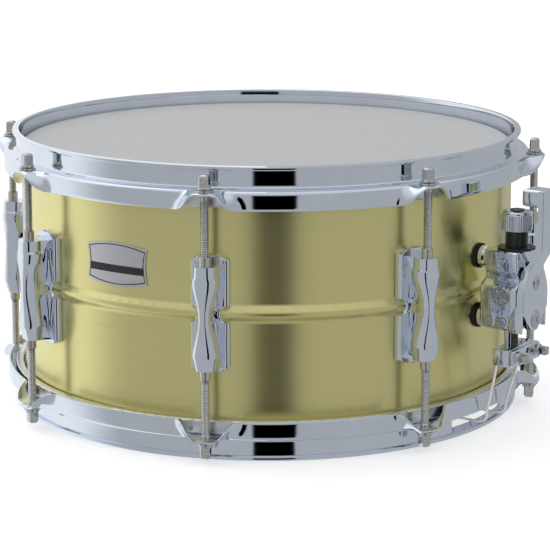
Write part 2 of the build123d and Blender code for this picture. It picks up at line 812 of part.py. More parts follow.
with BuildPart() as mount_screw:
    with BuildSketch(Plane.YZ.offset(inner_radius - mount_head_height - mount_head_gap)):
        Circle(mount_head_radius)
    extrude(amount=mount_head_height)
    with BuildSketch(Plane.YZ.offset(inner_radius - joint_lap)):
        Circle(mount_screw_radius)
    extrude(amount=mount_screw_length)
    with BuildSketch(Plane.YZ.offset(inner_radius - mount_head_height - mount_head_gap)):
        Rectangle(slot_width, 2 * mount_head_radius)
        Rectangle(2 * mount_head_radius, slot_width)
    extrude(amount=slot_depth, mode=Mode.SUBTRACT)

with BuildPart() as strainer_mount_screws:
    with Locations((0, 0, upper_foot_z), (0, 0, lower_foot_z)):
        add(mount_screw.part)
finish(strainer_mount_screws, "strainer_mount_screws")

with BuildPart() as strainer_medallion:
    with BuildSketch(Plane.XZ.offset(body_half_width - medallion_thickness / 2)):
        with Locations((medallion_x, middle)):
            Circle(medallion_radius)
    extrude(amount=medallion_thickness)
    with BuildSketch(Plane.XZ.offset(body_half_width + medallion_thickness / 2)):
        with Locations((medallion_x, middle)):
            Circle(medallion_radius - engraved_ring_inset)
            Circle(medallion_radius - engraved_ring_inset - engraved_ring_width, mode=Mode.SUBTRACT)
            with PolarLocations(engraved_petal_circle, engraved_petal_count):
                Circle(engraved_petal_radius)
    extrude(amount=-engraving_depth, mode=Mode.SUBTRACT)
finish(strainer_medallion, "strainer_medallion")

with BuildPart() as strainer_face_screws:
    with BuildSketch(Plane.XZ.offset(body_half_width - face_screw_length + 2 * face_screw_gap)):
        with Locations(*face_screw_places):
            Circle(face_screw_radius)
    extrude(amount=face_screw_length - 2 * face_screw_gap + face_screw_proud)
    with BuildSketch(Plane.XZ.offset(body_half_width + face_screw_proud)):
        with Locations(*face_screw_places):
            RegularPolygon(face_screw_hex / 2, 6, major_radius=False)
    extrude(amount=-hex_depth, mode=Mode.SUBTRACT)
finish(strainer_face_screws, "strainer_face_screws")

with BuildPart() as knob_collar:
    with BuildSketch(Plane.XY.offset(body_top_z)):
        with Locations((screw_x, 0)):
            Circle(collar_flange_radius)
    extrude(amount=collar_flange_height)
    with BuildSketch(Plane.XY.offset(body_top_z)):
        with Locations((screw_x, 0)):
            Circle(collar_radius)
    extrude(amount=collar_height)
    with BuildSketch(Plane.XY.offset(body_top_z)):
        with Locations((screw_x, 0)):
            Circle(screw_radius + collar_bore_clearance)
    extrude(amount=collar_height, mode=Mode.SUBTRACT)
    # the lever stands close in front of the flange
    with BuildSketch(Plane.XY.offset(body_top_z)):
        with Locations((lever_inner + collar_flange_radius - flange_lever_gap, 0)):
            Rectangle(2 * collar_flange_radius, 2 * collar_flange_radius)
    extrude(amount=collar_flange_height, mode=Mode.SUBTRACT)
finish(knob_collar, "knob_collar")

# ---------------------------------------------------------------- strainer: knob and screw
with BuildPart() as tension_knob:
    with BuildSketch(Plane.XY.offset(knob_bottom_z)):
        with Locations((screw_x, 0)):
            Circle(knob_radius)
            with PolarLocations(knob_radius + knurl_outset, knurl_count):
                Circle(knurl_radius, mode=Mode.SUBTRACT)
    extrude(amount=knob_height)
    with BuildSketch(Plane.XY.offset(knob_bottom_z)):
        with Locations((screw_x, 0)):
            Circle(collar_radius + knob_cup_clearance)
    extrude(amount=knob_height - knob_top, mode=Mode.SUBTRACT)
    with BuildSketch(Plane.XY.offset(knob_top_z - knob_top)):
        with Locations((screw_x, 0)):
            Circle(screw_radius)
    extrude(amount=knob_top, mode=Mode.SUBTRACT)
finish(tension_knob, "tension_knob")

screw_end_z = clamp_bottom_z + screw_end_rise
with BuildPart() as adjust_screw:
    with BuildSketch(Plane.XY.offset(screw_end_z)):
        with Locations((screw_x, 0)):
            Circle(screw_radius)
    extrude(amount=knob_top_z - screw_end_z)
    # slotted head over the knob
    with BuildSketch(Plane.XY.offset(knob_top_z)):
        with Locations((screw_x, 0)):
            Circle(screw_radius + screw_head_overhang)
    extrude(amount=screw_head_height)
    fillet(edges().group_by(Axis.Z)[-1], screw_head_round)
finish(adjust_screw, "adjust_screw")

carriage_top_z = pocket_top - slide_gap
with BuildPart() as strainer_carriage:
    with BuildSketch(Plane.XY.offset(carriage_top_z - carriage_height)):
        with Locations((screw_x, 0)):
            Rectangle(carriage_depth, 2 * carriage_half_width)
            Circle(screw_radius + screw_clearance, mode=Mode.SUBTRACT)
    extrude(amount=carriage_height)
    fillet(edges().filter_by(Axis.Z).group_by(Axis.X)[-1], carriage_round)
finish(strainer_carriage, "strainer_carriage")

# ---------------------------------------------------------------- strainer: lever and its pin
arm_inner = lever_inner + lever_arm_outset
arm_outer = arm_inner + lever_thickness
lever_bottom_z = pivot_z - lever_foot_drop
lever_top_z = middle + lever_top
neck_low_z = middle + neck_level
neck_high_z = body_top_z + neck_rise
plate_waist_z = middle - lever_taper_level
plate_shoulder_z = middle + lever_shoulder_level
cheek_inner = body_half_width + cheek_gap
cheek_width = lever_half_width - cheek_inner
cheek_top_z = middle + cheek_level
tab_back = arm_outer - lever_tab_depth
tab_bottom_z = lever_top_z - lever_tab_height
upper_screw_z = middle + upper_lever_screw_level
lower_screw_z = pivot_z + lower_lever_screw_rise

with BuildPart() as strainer_lever:
    # bent strip, seen from the side
    with BuildSketch(Plane.XZ.offset(-lever_half_width)):
        with BuildLine():
            FilletPolyline(
                (lever_inner, lever_bottom_z), (lever_outer, lever_bottom_z), (lever_outer, neck_low_z),
                (arm_outer, neck_high_z), (arm_outer, lever_top_z), (arm_inner, lever_top_z),
                (arm_inner, neck_high_z), (lever_inner, neck_low_z),
                radius=[
                    0, lever_foot_round, neck_outer_round, neck_outer_round, lever_tip_round, 0,
                    neck_inner_round, neck_inner_round,
                ],
                close=True,
            )
        make_face()
    extrude(amount=2 * lever_half_width)
    # and cut to its outline, seen from the front
    with BuildSketch(Plane.YZ.offset(lever_inner)):
        with BuildLine():
            right_foot = Line((lever_foot_half_width, lever_bottom_z), (lever_half_width, plate_waist_z))
            right_side = Line(right_foot @ 1, (lever_half_width, plate_shoulder_z))
            right_neck = Spline(
                right_side @ 1, (lever_arm_half_width, neck_high_z - neck_blend), tangents=[(0, 1), (0, 1)]
            )
            right_arm = Line(right_neck @ 1, (lever_arm_half_width, lever_top_z))
            top = Line(right_arm @ 1, (-lever_arm_half_width, lever_top_z))
            left_arm = Line(top @ 1, (-lever_arm_half_width, neck_high_z - neck_blend))
            left_neck = Spline(
                left_arm @ 1, (-lever_half_width, plate_shoulder_z), tangents=[(0, -1), (0, -1)]
            )
            left_side = Line(left_neck @ 1, (-lever_half_width, plate_waist_z))
            left_foot = Line(left_side @ 1, (-lever_foot_half_width, lever_bottom_z))
            Line(left_foot @ 1, right_foot @ 0)
        make_face()
    extrude(amount=arm_outer - lever_inner, mode=Mode.INTERSECT)
    # cheeks that straddle the body and take the pin
    for side in (-1, 1):
        with BuildSketch(Plane.XZ.offset(side * cheek_inner)):
            with BuildLine():
                FilletPolyline(
                    (pivot_x - cheek_radius, pivot_z - cheek_radius),
                    (lever_outer - cheek_inset, pivot_z - cheek_radius),
                    (lever_outer - cheek_inset, cheek_top_z), (lever_inner - cheek_inset, cheek_top_z),
                    (pivot_x - cheek_radius, pivot_z + 2 * cheek_radius),
                    radius=[cheek_heel_round, cheek_foot_round, 0, cheek_round, cheek_round], close=True,
                )
            make_face()
            with Locations((pivot_x, pivot_z)):
                Circle(pin_radius + pin_clearance, mode=Mode.SUBTRACT)
        extrude(amount=side * cheek_width)
    # finger tab at the top, bent back over the knob
    with BuildSketch(Plane.XZ.offset(-lever_arm_half_width)):
        with BuildLine():
            FilletPolyline(
                (tab_back, lever_top_z), (arm_outer, lever_top_z),
                (arm_outer, tab_bottom_z + tab_root_rise), (arm_inner, tab_bottom_z - tab_root_drop),
                (tab_back + tab_nose, tab_bottom_z), (tab_back, tab_bottom_z + tab_nose),
                radius=[tab_back_round, lever_tip_round, 0, 0, tab_nose_round, tab_nose_round], close=True,
            )
        make_face()
    extrude(amount=2 * lever_arm_half_width)
    # counterbored seats for the two screws in the plate
    with BuildSketch(Plane.YZ.offset(lever_outer - lever_screw_seat)):
        with Locations((0, upper_screw_z)):
            Circle(upper_lever_screw_radius + lever_screw_gap)
        with Locations((0, lower_screw_z)):
            Circle(lower_lever_screw_radius + lever_screw_gap)
    extrude(amount=lever_screw_height, mode=Mode.SUBTRACT)
finish(strainer_lever, "strainer_lever")

with BuildPart() as lever_screws:
    with BuildSketch(Plane.YZ.offset(lever_outer - lever_screw_seat)):
        with Locations((0, upper_screw_z)):
            Circle(upper_lever_screw_radius)
        with Locations((0, lower_screw_z)):
            Circle(lower_lever_screw_radius)
    extrude(amount=lever_screw_height)
    with BuildSketch(Plane.YZ.offset(lever_outer - lever_screw_seat + lever_screw_height)):
        with Locations((0, upper_screw_z), (0, lower_screw_z)):
            RegularPolygon(face_screw_hex / 2, 6, major_radius=False)
    extrude(amount=-lever_hex_depth, mode=Mode.SUBTRACT)
finish(lever_screws, "lever_screws")

with BuildPart() as lever_pin:
    with BuildSketch(Plane.XZ.offset(-lever_half_width)):
        with Locations((pivot_x, pivot_z)):
            Circle(pin_radius)
    extrude(amount=2 * lever_half_width)
finish(lever_pin, "lever_pin")

# ---------------------------------------------------------------- strainer: cord clamp
clamp_screw_z = clamp_top_z - clamp_height / 2 + clamp_screw_rise
cord_x = clamp_back + cord_inset
with BuildPart() as clamp_block:
    with BuildSketch(Plane.XY.offset(clamp_bottom_z)):
        with Locations(((clamp_front + clamp_back) / 2, 0)):
            RectangleRounded(clamp_depth, 2 * clamp_half_width, clamp_round)
            Circle(screw_radius + screw_clearance, mode=Mode.SUBTRACT)
    extrude(amount=clamp_height)
    with BuildSketch(Plane.XY.offset(clamp_top_z - joint_lap)):
        with Locations((slide_bar_x, 0)):
            Rectangle(slide_bar_depth, 2 * slide_bar_half_width)
    extrude(amount=slide_bar_length + joint_lap)
    with BuildSketch(Plane.XY.offset(clamp_bottom_z)):
        with Locations((cord_x, cord_spread_top), (cord_x, -cord_spread_top)):
            Circle(cord_hole_radius)
    extrude(amount=clamp_height - cord_roof, mode=Mode.SUBTRACT)
    with BuildSketch(Plane.YZ.offset(clamp_front)):
        with Locations((clamp_screw_offset, clamp_screw_z), (-clamp_screw_offset, clamp_screw_z)):
            Circle(clamp_screw_radius)
    extrude(amount=-clamp_screw_depth, mode=Mode.SUBTRACT)
finish(clamp_block, "clamp_block")

with BuildPart() as clamp_plate:
    with BuildSketch(Plane.YZ.offset(clamp_front)):
        with Locations((0, clamp_screw_z - clamp_screw_rise)):
            RectangleRounded(
                2 * clamp_half_width + clamp_plate_overhang,
                clamp_height - clamp_plate_trim, clamp_plate_corner,
            )
        with Locations((clamp_screw_offset, clamp_screw_z), (-clamp_screw_offset, clamp_screw_z)):
            Circle(clamp_screw_radius, mode=Mode.SUBTRACT)
    extrude(amount=clamp_plate_thickness)
    chamfer(faces().sort_by(Axis.X)[-1].outer_wire().edges(), clamp_plate_chamfer)
finish(clamp_plate, "clamp_plate")

with BuildPart() as clamp_screws:
    with BuildSketch(Plane.YZ.offset(clamp_front - clamp_screw_depth)):
        with Locations((clamp_screw_offset, clamp_screw_z), (-clamp_screw_offset, clamp_screw_z)):
            Circle(clamp_screw_radius)
    extrude(amount=clamp_screw_depth + clamp_plate_thickness)
    with BuildSketch(Plane.YZ.offset(clamp_front + clamp_plate_thickness)):
        with Locations((clamp_screw_offset, clamp_screw_z), (-clamp_screw_offset, clamp_screw_z)):
            Circle(clamp_collar_radius)
    extrude(amount=clamp_collar_height)
    with BuildSketch(Plane.YZ.offset(clamp_front + clamp_plate_thickness + clamp_collar_height)):
        with Locations((clamp_screw_offset, clamp_screw_z), (-clamp_screw_offset, clamp_screw_z)):
            RectangleRounded(clamp_square, clamp_square, drive_corner)
    extrude(amount=clamp_square_height)
    chamfer(edges().group_by(Axis.X)[-1], drive_chamfer)
finish(clamp_screws, "clamp_screws")

# ---------------------------------------------------------------- butt plate
butt_back = shell_radius + gasket_thickness + butt_standoff
butt_front = butt_back + butt_depth
butt_z = middle - butt_level
butt_cord_x = butt_back + butt_cord_inset

with BuildPart() as butt_body:
    with BuildSketch(Plane.XY.offset(butt_z - butt_height / 2)):
        with Locations((-(butt_back + butt_front) / 2, 0)):
            RectangleRounded(butt_depth, 2 * butt_half_width + butt_flare, butt_corner)
        with Locations((-butt_cord_x, cord_spread_top), (-butt_cord_x, -cord_spread_top)):
            Circle(cord_hole_radius, mode=Mode.SUBTRACT)
    extrude(amount=butt_height)
    with BuildSketch(Plane.YZ.offset(-butt_back - joint_lap)):
        with Locations((-butt_foot_offset, butt_z), (butt_foot_offset, butt_z)):
            Circle(butt_foot_radius)
    extrude(amount=butt_back - shell_radius + joint_lap)
    with BuildSketch(Plane.YZ.offset(-butt_front)):
        with Locations((clamp_screw_offset, butt_z), (-clamp_screw_offset, butt_z)):
            Circle(clamp_screw_radius)
    extrude(amount=clamp_screw_depth, mode=Mode.SUBTRACT)
    with BuildSketch(Plane.YZ.offset(-shell_radius + shell_wall)):
        with Locations((-butt_foot_offset, butt_z), (butt_foot_offset, butt_z)):
            Circle(mount_screw_radius + seat_gap)
    extrude(amount=-butt_screw_bore, mode=Mode.SUBTRACT)
    add(turned(shell_radius + seat_gap + gasket_thickness, rim_top), mode=Mode.SUBTRACT)
finish(butt_body, "butt_body")

with BuildPart() as butt_gaskets:
    add(turned(shell_radius + gasket_thickness, rim_top))
    with BuildSketch(Plane.YZ):
        with Locations((-butt_foot_offset, butt_z), (butt_foot_offset, butt_z)):
            Circle(butt_gasket_radius)
            Circle(mount_screw_radius + 2 * seat_gap, mode=Mode.SUBTRACT)
    extrude(amount=-shell_diameter, mode=Mode.INTERSECT)
    add(shell_core, mode=Mode.SUBTRACT)
finish(butt_gaskets, "butt_gaskets")

with BuildPart() as butt_mount_screws:
    with Locations(
        Location((butt_screw_inset, butt_foot_offset, butt_z), (0, 0, 180)),
        Location((butt_screw_inset, -butt_foot_offset, butt_z), (0, 0, 180)),
    ):
        add(mount_screw.part)
finish(butt_mount_screws, "butt_mount_screws")

with BuildPart() as butt_clamp_plate:
    with BuildSketch(Plane.YZ.offset(-butt_front)):
        with Locations((0, butt_z)):
            RectangleRounded(2 * butt_half_width + butt_flare, butt_plate_height, clamp_plate_corner)
        with Locations((clamp_screw_offset, butt_z), (-clamp_screw_offset, butt_z)):
            Circle(clamp_screw_radius, mode=Mode.SUBTRACT)
    extrude(amount=-clamp_plate_thickness)
finish(butt_clamp_plate, "butt_clamp_plate")

with BuildPart() as butt_clamp_screws:
    turned_screws = Rot(0, 0, 180) * clamp_screws.part
    add(Pos(clamp_front - butt_front, 0, butt_z - clamp_screw_z) * turned_screws)
finish(butt_clamp_screws, "butt_clamp_screws")

# ---------------------------------------------------------------- snare wires and cords
wire_z = shell_bottom - film_thickness - wire_head_gap - wire_radius
plate_top_z = wire_z - wire_radius
plate_half_width = wire_count * wire_pitch / 2
plate_outer_x = wire_length / 2 - end_plate_overlap + end_plate_length

with BuildPart() as snare_wires:
    with BuildSketch(Plane.YZ.offset(-wire_length / 2)):
        with Locations((0, wire_z)):
            with GridLocations(wire_pitch, 1, wire_count, 1):
                Circle(wire_radius)
    extrude(amount=wire_length)
finish(snare_wires, "snare_wires")

with BuildPart() as snare_end_plates:
    with BuildSketch(Plane.XY.offset(plate_top_z - end_plate_thickness)):
        with Locations((plate_outer_x - end_plate_length / 2, 0), (end_plate_length / 2 - plate_outer_x, 0)):
            RectangleRounded(end_plate_length, 2 * plate_half_width, end_plate_corner)
    extrude(amount=end_plate_thickness)
finish(snare_end_plates, "snare_end_plates")

cord_low_z = plate_top_z + cord_radius
apron_pass_x = apron_outer + cord_apron_gap + cord_radius


def cord_pair(top_x, top_z, exit_z, away):
    """Two strands from a clamp, down past the apron and in through the gate to the end plate."""
    strands = []
    for side in (-1, 1):
        with BuildPart() as strand:
            with BuildLine():
                FilletPolyline(
                    (away * top_x, side * cord_spread_top, top_z),
                    (away * top_x, side * cord_spread_top, exit_z - cord_bend / 2),
                    (away * apron_pass_x, side * cord_spread_bottom, shelf_drop + cord_entry_rise),
                    (away * apron_pass_x, side * cord_spread_bottom, cord_low_z),
                    (away * (plate_outer_x - cord_end_inset), side * cord_spread_bottom, cord_low_z),
                    radius=[cord_bend, cord_bend, cord_bend],
                )
            with BuildSketch(Plane(origin=(away * top_x, side * cord_spread_top, top_z), z_dir=(0, 0, -1))):
                Circle(cord_radius)
            sweep()
        strands.append(strand.part)
    return strands


strainer_strands = cord_pair(cord_x, clamp_top_z - cord_anchor_depth, clamp_bottom_z, 1)
butt_strands = cord_pair(butt_cord_x, butt_z, butt_z - butt_height / 2, -1)

with BuildPart() as strainer_cords:
    add(strainer_strands)
finish(strainer_cords, "strainer_cords")

with BuildPart() as butt_cords:
    add(butt_strands)
finish(butt_cords, "butt_cords")
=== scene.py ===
"""A 13 x 6.5 inch brass snare drum, seen from the throw-off's left."""
from math import atan2, cos, degrees, pi, radians, sin, sqrt

import bmesh
import bpy
from mathutils import Matrix, Vector


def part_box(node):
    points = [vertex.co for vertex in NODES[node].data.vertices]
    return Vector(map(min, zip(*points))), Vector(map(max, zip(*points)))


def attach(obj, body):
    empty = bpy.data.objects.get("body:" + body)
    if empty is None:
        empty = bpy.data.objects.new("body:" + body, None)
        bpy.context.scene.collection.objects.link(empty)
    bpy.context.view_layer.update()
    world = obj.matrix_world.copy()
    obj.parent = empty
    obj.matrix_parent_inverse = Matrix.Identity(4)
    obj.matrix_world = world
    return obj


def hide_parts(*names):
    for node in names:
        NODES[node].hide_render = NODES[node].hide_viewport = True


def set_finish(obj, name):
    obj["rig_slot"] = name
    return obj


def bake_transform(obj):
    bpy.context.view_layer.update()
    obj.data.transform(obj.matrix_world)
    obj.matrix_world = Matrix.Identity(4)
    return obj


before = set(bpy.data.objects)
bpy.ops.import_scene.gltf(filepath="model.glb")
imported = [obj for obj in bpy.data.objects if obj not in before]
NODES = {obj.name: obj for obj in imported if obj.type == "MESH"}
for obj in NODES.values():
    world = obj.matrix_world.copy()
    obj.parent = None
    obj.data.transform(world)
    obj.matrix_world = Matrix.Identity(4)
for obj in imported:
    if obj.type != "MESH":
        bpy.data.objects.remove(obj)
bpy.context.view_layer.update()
MM = 0.001


# ---------------------------------------- materials
def new_material(name):
    """An empty node material with a Principled shader, its nodes and its links."""
    mat = bpy.data.materials.new(name)
    mat.use_nodes = True
    tree = mat.node_tree
    tree.nodes.clear()
    out = tree.nodes.new("ShaderNodeOutputMaterial")
    bsdf = tree.nodes.new("ShaderNodeBsdfPrincipled")
    tree.links.new(bsdf.outputs["BSDF"], out.inputs["Surface"])
    return mat, tree, bsdf


def stretched_noise(tree, scale, detail=4.0):
    """Noise on the object's own coordinates, scaled by (x, y, z) per metre."""
    coords = tree.nodes.new("ShaderNodeTexCoord")
    mapping = tree.nodes.new("ShaderNodeMapping")
    mapping.inputs["Scale"].default_value = scale
    noise = tree.nodes.new("ShaderNodeTexNoise")
    noise.inputs["Scale"].default_value = 1.0
    noise.inputs["Detail"].default_value = detail
    tree.links.new(coords.outputs["Object"], mapping.inputs["Vector"])
    tree.links.new(mapping.outputs["Vector"], noise.inputs["Vector"])
    return noise


def ramp(tree, source, low, high, start=0.35, end=0.65):
    """A colour ramp from low to high on a 0..1 source."""
    node = tree.nodes.new("ShaderNodeValToRGB")
    node.color_ramp.elements[0].position = start
    node.color_ramp.elements[0].color = (*low, 1)
    node.color_ramp.elements[1].position = end
    node.color_ramp.elements[1].color = (*high, 1)
    tree.links.new(source, node.inputs["Fac"])
    return node


def span(tree, source, low, high):
    """A value from low to high on a 0..1 source."""
    node = tree.nodes.new("ShaderNodeMapRange")
    node.inputs["To Min"].default_value = low
    node.inputs["To Max"].default_value = high
    tree.links.new(source, node.inputs["Value"])
    return node


def surface(name, low, high, metallic, rough, scale=(60, 60, 60), bump=0.0, bump_scale=None,
            bump_distance=0.0001, detail=4.0, **inputs):
    """A material whose colour, roughness and relief vary with noise."""
    mat, tree, bsdf = new_material(name)
    noise = stretched_noise(tree, scale, detail)
    tree.links.new(ramp(tree, noise.outputs["Fac"], low, high).outputs["Color"],
                   bsdf.inputs["Base Color"])
    tree.links.new(span(tree, noise.outputs["Fac"], *rough).outputs["Result"],
                   bsdf.inputs["Roughness"])
    bsdf.inputs["Metallic"].default_value = metallic
    if bump:
        fine = stretched_noise(tree, bump_scale or scale, detail)
        relief = tree.nodes.new("ShaderNodeBump")
        relief.inputs["Strength"].default_value = bump
        relief.inputs["Distance"].default_value = bump_distance
        tree.links.new(fine.outputs["Fac"], relief.inputs["Height"])
        tree.links.new(relief.outputs["Normal"], bsdf.inputs["Normal"])
    for key, value in inputs.items():
        bsdf.inputs[key.replace("_", " ").title()].default_value = value
    return mat


def brushed_brass():
    """Satin brass with fine brushing round the drum."""
    mat = surface("brass_shell", (0.80, 0.735, 0.335), (0.84, 0.775, 0.365), 1.0, (0.27, 0.33),
                  scale=(9, 9, 1500), bump=0.25, bump_scale=(14, 14, 4200),
                  bump_distance=0.00003, detail=6.0, anisotropic=0.75, anisotropic_rotation=0.25)
    tree = mat.node_tree
    tangent = tree.nodes.new("ShaderNodeTangent")
    tangent.direction_type = "RADIAL"
    tangent.axis = "Z"
    bsdf = next(n for n in tree.nodes if n.type == "BSDF_PRINCIPLED")
    tree.links.new(tangent.outputs["Tangent"], bsdf.inputs["Tangent"])
    return mat


CHROME = ((0.72, 0.77, 0.85), (0.76, 0.81, 0.89))
MATERIALS = {
    "brass_shell": brushed_brass(),
    "badge_plate": surface("badge_plate", (0.60, 0.60, 0.62), (0.70, 0.70, 0.72), 1.0, (0.3, 0.4),
                           scale=(30, 30, 2500)),
    "plated_brass": surface("plated_brass", (0.60, 0.52, 0.28), (0.68, 0.60, 0.34), 1.0,
                            (0.2, 0.3), scale=(200, 200, 200)),
    "coated_film": surface("coated_film", (0.60, 0.60, 0.60), (0.66, 0.66, 0.655), 0.0, (0.5, 0.7),
                           scale=(900, 900, 900), bump=0.5, bump_scale=(2200, 2200, 2200),
                           bump_distance=0.00005),
    "clear_film": surface("clear_film", (0.62, 0.64, 0.66), (0.72, 0.74, 0.76), 0.0, (0.15, 0.25),
                          scale=(400, 400, 400)),
    "flesh_hoop_aluminium": surface("flesh_hoop_aluminium", (0.68, 0.68, 0.69),
                                    (0.76, 0.76, 0.77), 1.0, (0.2, 0.3), scale=(20, 20, 900)),
    "chrome_hoop": surface("chrome_hoop", *CHROME, 1.0, (0.03, 0.06), scale=(40, 40, 40)),
    "chrome_casting": surface("chrome_casting", *CHROME, 1.0, (0.03, 0.07), scale=(90, 90, 90)),
    "knob_chrome": surface("knob_chrome", *CHROME, 1.0, (0.06, 0.12), scale=(300, 300, 300)),
    "rod_steel": surface("rod_steel", (0.52, 0.52, 0.52), (0.66, 0.66, 0.66), 1.0, (0.08, 0.16),
                         scale=(300, 300, 1200)),
    "nickel_nut": surface("nickel_nut", (0.60, 0.56, 0.50), (0.68, 0.64, 0.58), 1.0, (0.14, 0.24),
                          scale=(300, 300, 900)),
    "inner_steel": surface("inner_steel", (0.50, 0.50, 0.51), (0.60, 0.60, 0.61), 1.0,
                           (0.25, 0.4), scale=(300, 300, 300)),
    "dark_steel": surface("dark_steel", (0.07, 0.065, 0.06), (0.14, 0.13, 0.12), 1.0, (0.25, 0.4),
                          scale=(500, 500, 500)),
    "medallion_steel": surface("medallion_steel", (0.55, 0.56, 0.58), (0.66, 0.67, 0.69), 1.0,
                               (0.18, 0.3), scale=(400, 400, 400)),
    "black_rubber": surface("black_rubber", (0.010, 0.010, 0.010), (0.020, 0.020, 0.020), 0.0,
                            (0.6, 0.8), scale=(900, 900, 900), bump=0.3),
    "black_plastic": surface("black_plastic", (0.010, 0.010, 0.011), (0.020, 0.020, 0.022), 0.0,
                             (0.25, 0.4), scale=(500, 500, 500), bump=0.15),
    "white_cord": surface("white_cord", (0.70, 0.70, 0.66), (0.84, 0.84, 0.80), 0.0, (0.6, 0.8),
                          scale=(900, 900, 900), bump=0.6),
    "snare_steel": surface("snare_steel", (0.55, 0.55, 0.56), (0.65, 0.65, 0.66), 1.0,
                           (0.15, 0.28), scale=(900, 900, 900)),
}


BEVEL_ANGLE = radians(30)
BEVEL_SEGMENTS = 3
WELD_DISTANCE = 0.00001


def bevelled(node, width):
    """Rounds the hard edges of a CAD node with modifiers."""
    weld = node.modifiers.new("weld", "WELD")
    weld.merge_threshold = WELD_DISTANCE
    bevel = node.modifiers.new("bevel", "BEVEL")
    bevel.width = width
    bevel.segments = BEVEL_SEGMENTS
    bevel.limit_method = "ANGLE"
    bevel.angle_limit = BEVEL_ANGLE
    bevel.harden_normals = True
    bevel.use_clamp_overlap = True
    normals = node.modifiers.new("normals", "WEIGHTED_NORMAL")
    normals.keep_sharp = True


for node in NODES.values():
    for material_slot in node.material_slots:
        slot_name = material_slot.material.name.split(".")[0]
        material_slot.material = MATERIALS[slot_name]

# width of the rounded edges of each CAD node that stays visible, in millimetres
BEVELS = {
    "strainer_lever": 0.7, "strainer_body": 0.8, "clamp_block": 0.6, "clamp_plate": 0.5,
    "butt_body": 0.8, "butt_clamp_plate": 0.5, "lever_screws": 0.35, "clamp_screws": 0.4,
    "butt_clamp_screws": 0.4, "badge": 0.15, "strainer_carriage": 0.5, "rod_washers": 0.25,
    "strainer_face_screws": 0.3, "strainer_medallion": 0.3, "lug_nuts": 0.3,
    "knob_collar": 0.3, "strainer_gaskets": 0.4, "butt_gaskets": 0.4, "vent_grommet": 0.4,
    "snare_end_plates": 0.2, "batter_flesh_hoop": 0.6, "snare_side_flesh_hoop": 0.6,
}
for node_name, width in BEVELS.items():
    bevelled(NODES[node_name], width * MM)

# ---------------------------------------- shared sizes, in millimetres
MIDDLE = sum(c.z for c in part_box("shell")) / 2 / MM
SHELL_RADIUS = 165.1
ROD_CIRCLE = 180.7
LUG_COUNT = 8
LUG_STEP = 360 / LUG_COUNT
LUG_ANGLES = [LUG_STEP * (i + 0.5) for i in range(LUG_COUNT)]


# ---------------------------------------- mesh helpers
def mesh_object(name, points, faces, slot_name, sharp):
    """A smooth-shaded mesh in metres from points in millimetres, with edges above sharp kept."""
    mesh = bpy.data.meshes.new(name)
    mesh.from_pydata([tuple(c * MM for c in p) for p in points], [], faces)
    clean = bmesh.new()
    clean.from_mesh(mesh)
    bmesh.ops.remove_doubles(clean, verts=clean.verts, dist=1e-6)
    bmesh.ops.dissolve_degenerate(clean, dist=1e-7, edges=clean.edges)
    bmesh.ops.recalc_face_normals(clean, faces=clean.faces)
    clean.to_mesh(mesh)
    clean.free()
    mesh.shade_smooth()
    mesh.set_sharp_from_angle(angle=radians(sharp))
    mesh.materials.append(MATERIALS[slot_name])
    obj = bpy.data.objects.new(name, mesh)
    bpy.context.scene.collection.objects.link(obj)
    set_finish(obj, slot_name)
    return obj


def twin(obj, name):
    """Another object with the same mesh."""
    copy = bpy.data.objects.new(name, obj.data)
    bpy.context.scene.collection.objects.link(copy)
    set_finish(copy, obj["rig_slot"])
    return copy


def ring_faces(rows, columns):
    """Quads between closed rings of points, stored ring by ring."""
    faces = []
    for i in range(rows - 1):
        for k in range(columns):
            k_next = (k + 1) % columns
            faces.append((i * columns + k, i * columns + k_next,
                          (i + 1) * columns + k_next, (i + 1) * columns + k))
    return faces


def capped_faces(rows, columns):
    """The same, with a face over the first ring and one over the last."""
    last = (rows - 1) * columns
    caps = [tuple(range(columns)), tuple(last + k for k in range(columns))]
    return ring_faces(rows, columns) + caps


def smooth(t):
    """An S-shaped step from 0 to 1."""
    t = max(0.0, min(1.0, t))
    return t * t * (3 - 2 * t)


def along(table, x):
    """Straight interpolation through (x, value) rows sorted by x."""
    if x <= table[0][0]:
        return table[0][1]
    for (x0, v0), (x1, v1) in zip(table, table[1:]):
        if x <= x1:
            return v0 + (v1 - v0) * (x - x0) / (x1 - x0)
    return table[-1][1]


def curved(table, x):
    """Catmull-Rom interpolation through (x, value) rows sorted by x."""
    if x <= table[0][0]:
        return table[0][1]
    if x >= table[-1][0]:
        return table[-1][1]
    for i in range(len(table) - 1):
        if x <= table[i + 1][0]:
            break
    (x1, v1), (x2, v2) = table[i], table[i + 1]
    x0, v0 = table[i - 1] if i else (2 * x1 - x2, v1)
    x3, v3 = table[i + 2] if i + 2 < len(table) else (2 * x2 - x1, v2)
    m1 = (v2 - v0) / (x2 - x0) * (x2 - x1)
    m2 = (v3 - v1) / (x3 - x1) * (x2 - x1)
    t = (x - x1) / (x2 - x1)
    return ((2 * t ** 3 - 3 * t ** 2 + 1) * v1 + (t ** 3 - 2 * t ** 2 + t) * m1
            + (-2 * t ** 3 + 3 * t ** 2) * v2 + (t ** 3 - t ** 2) * m2)


# ---------------------------------------- hoops
HOOP_HALF_WALL = 1.15
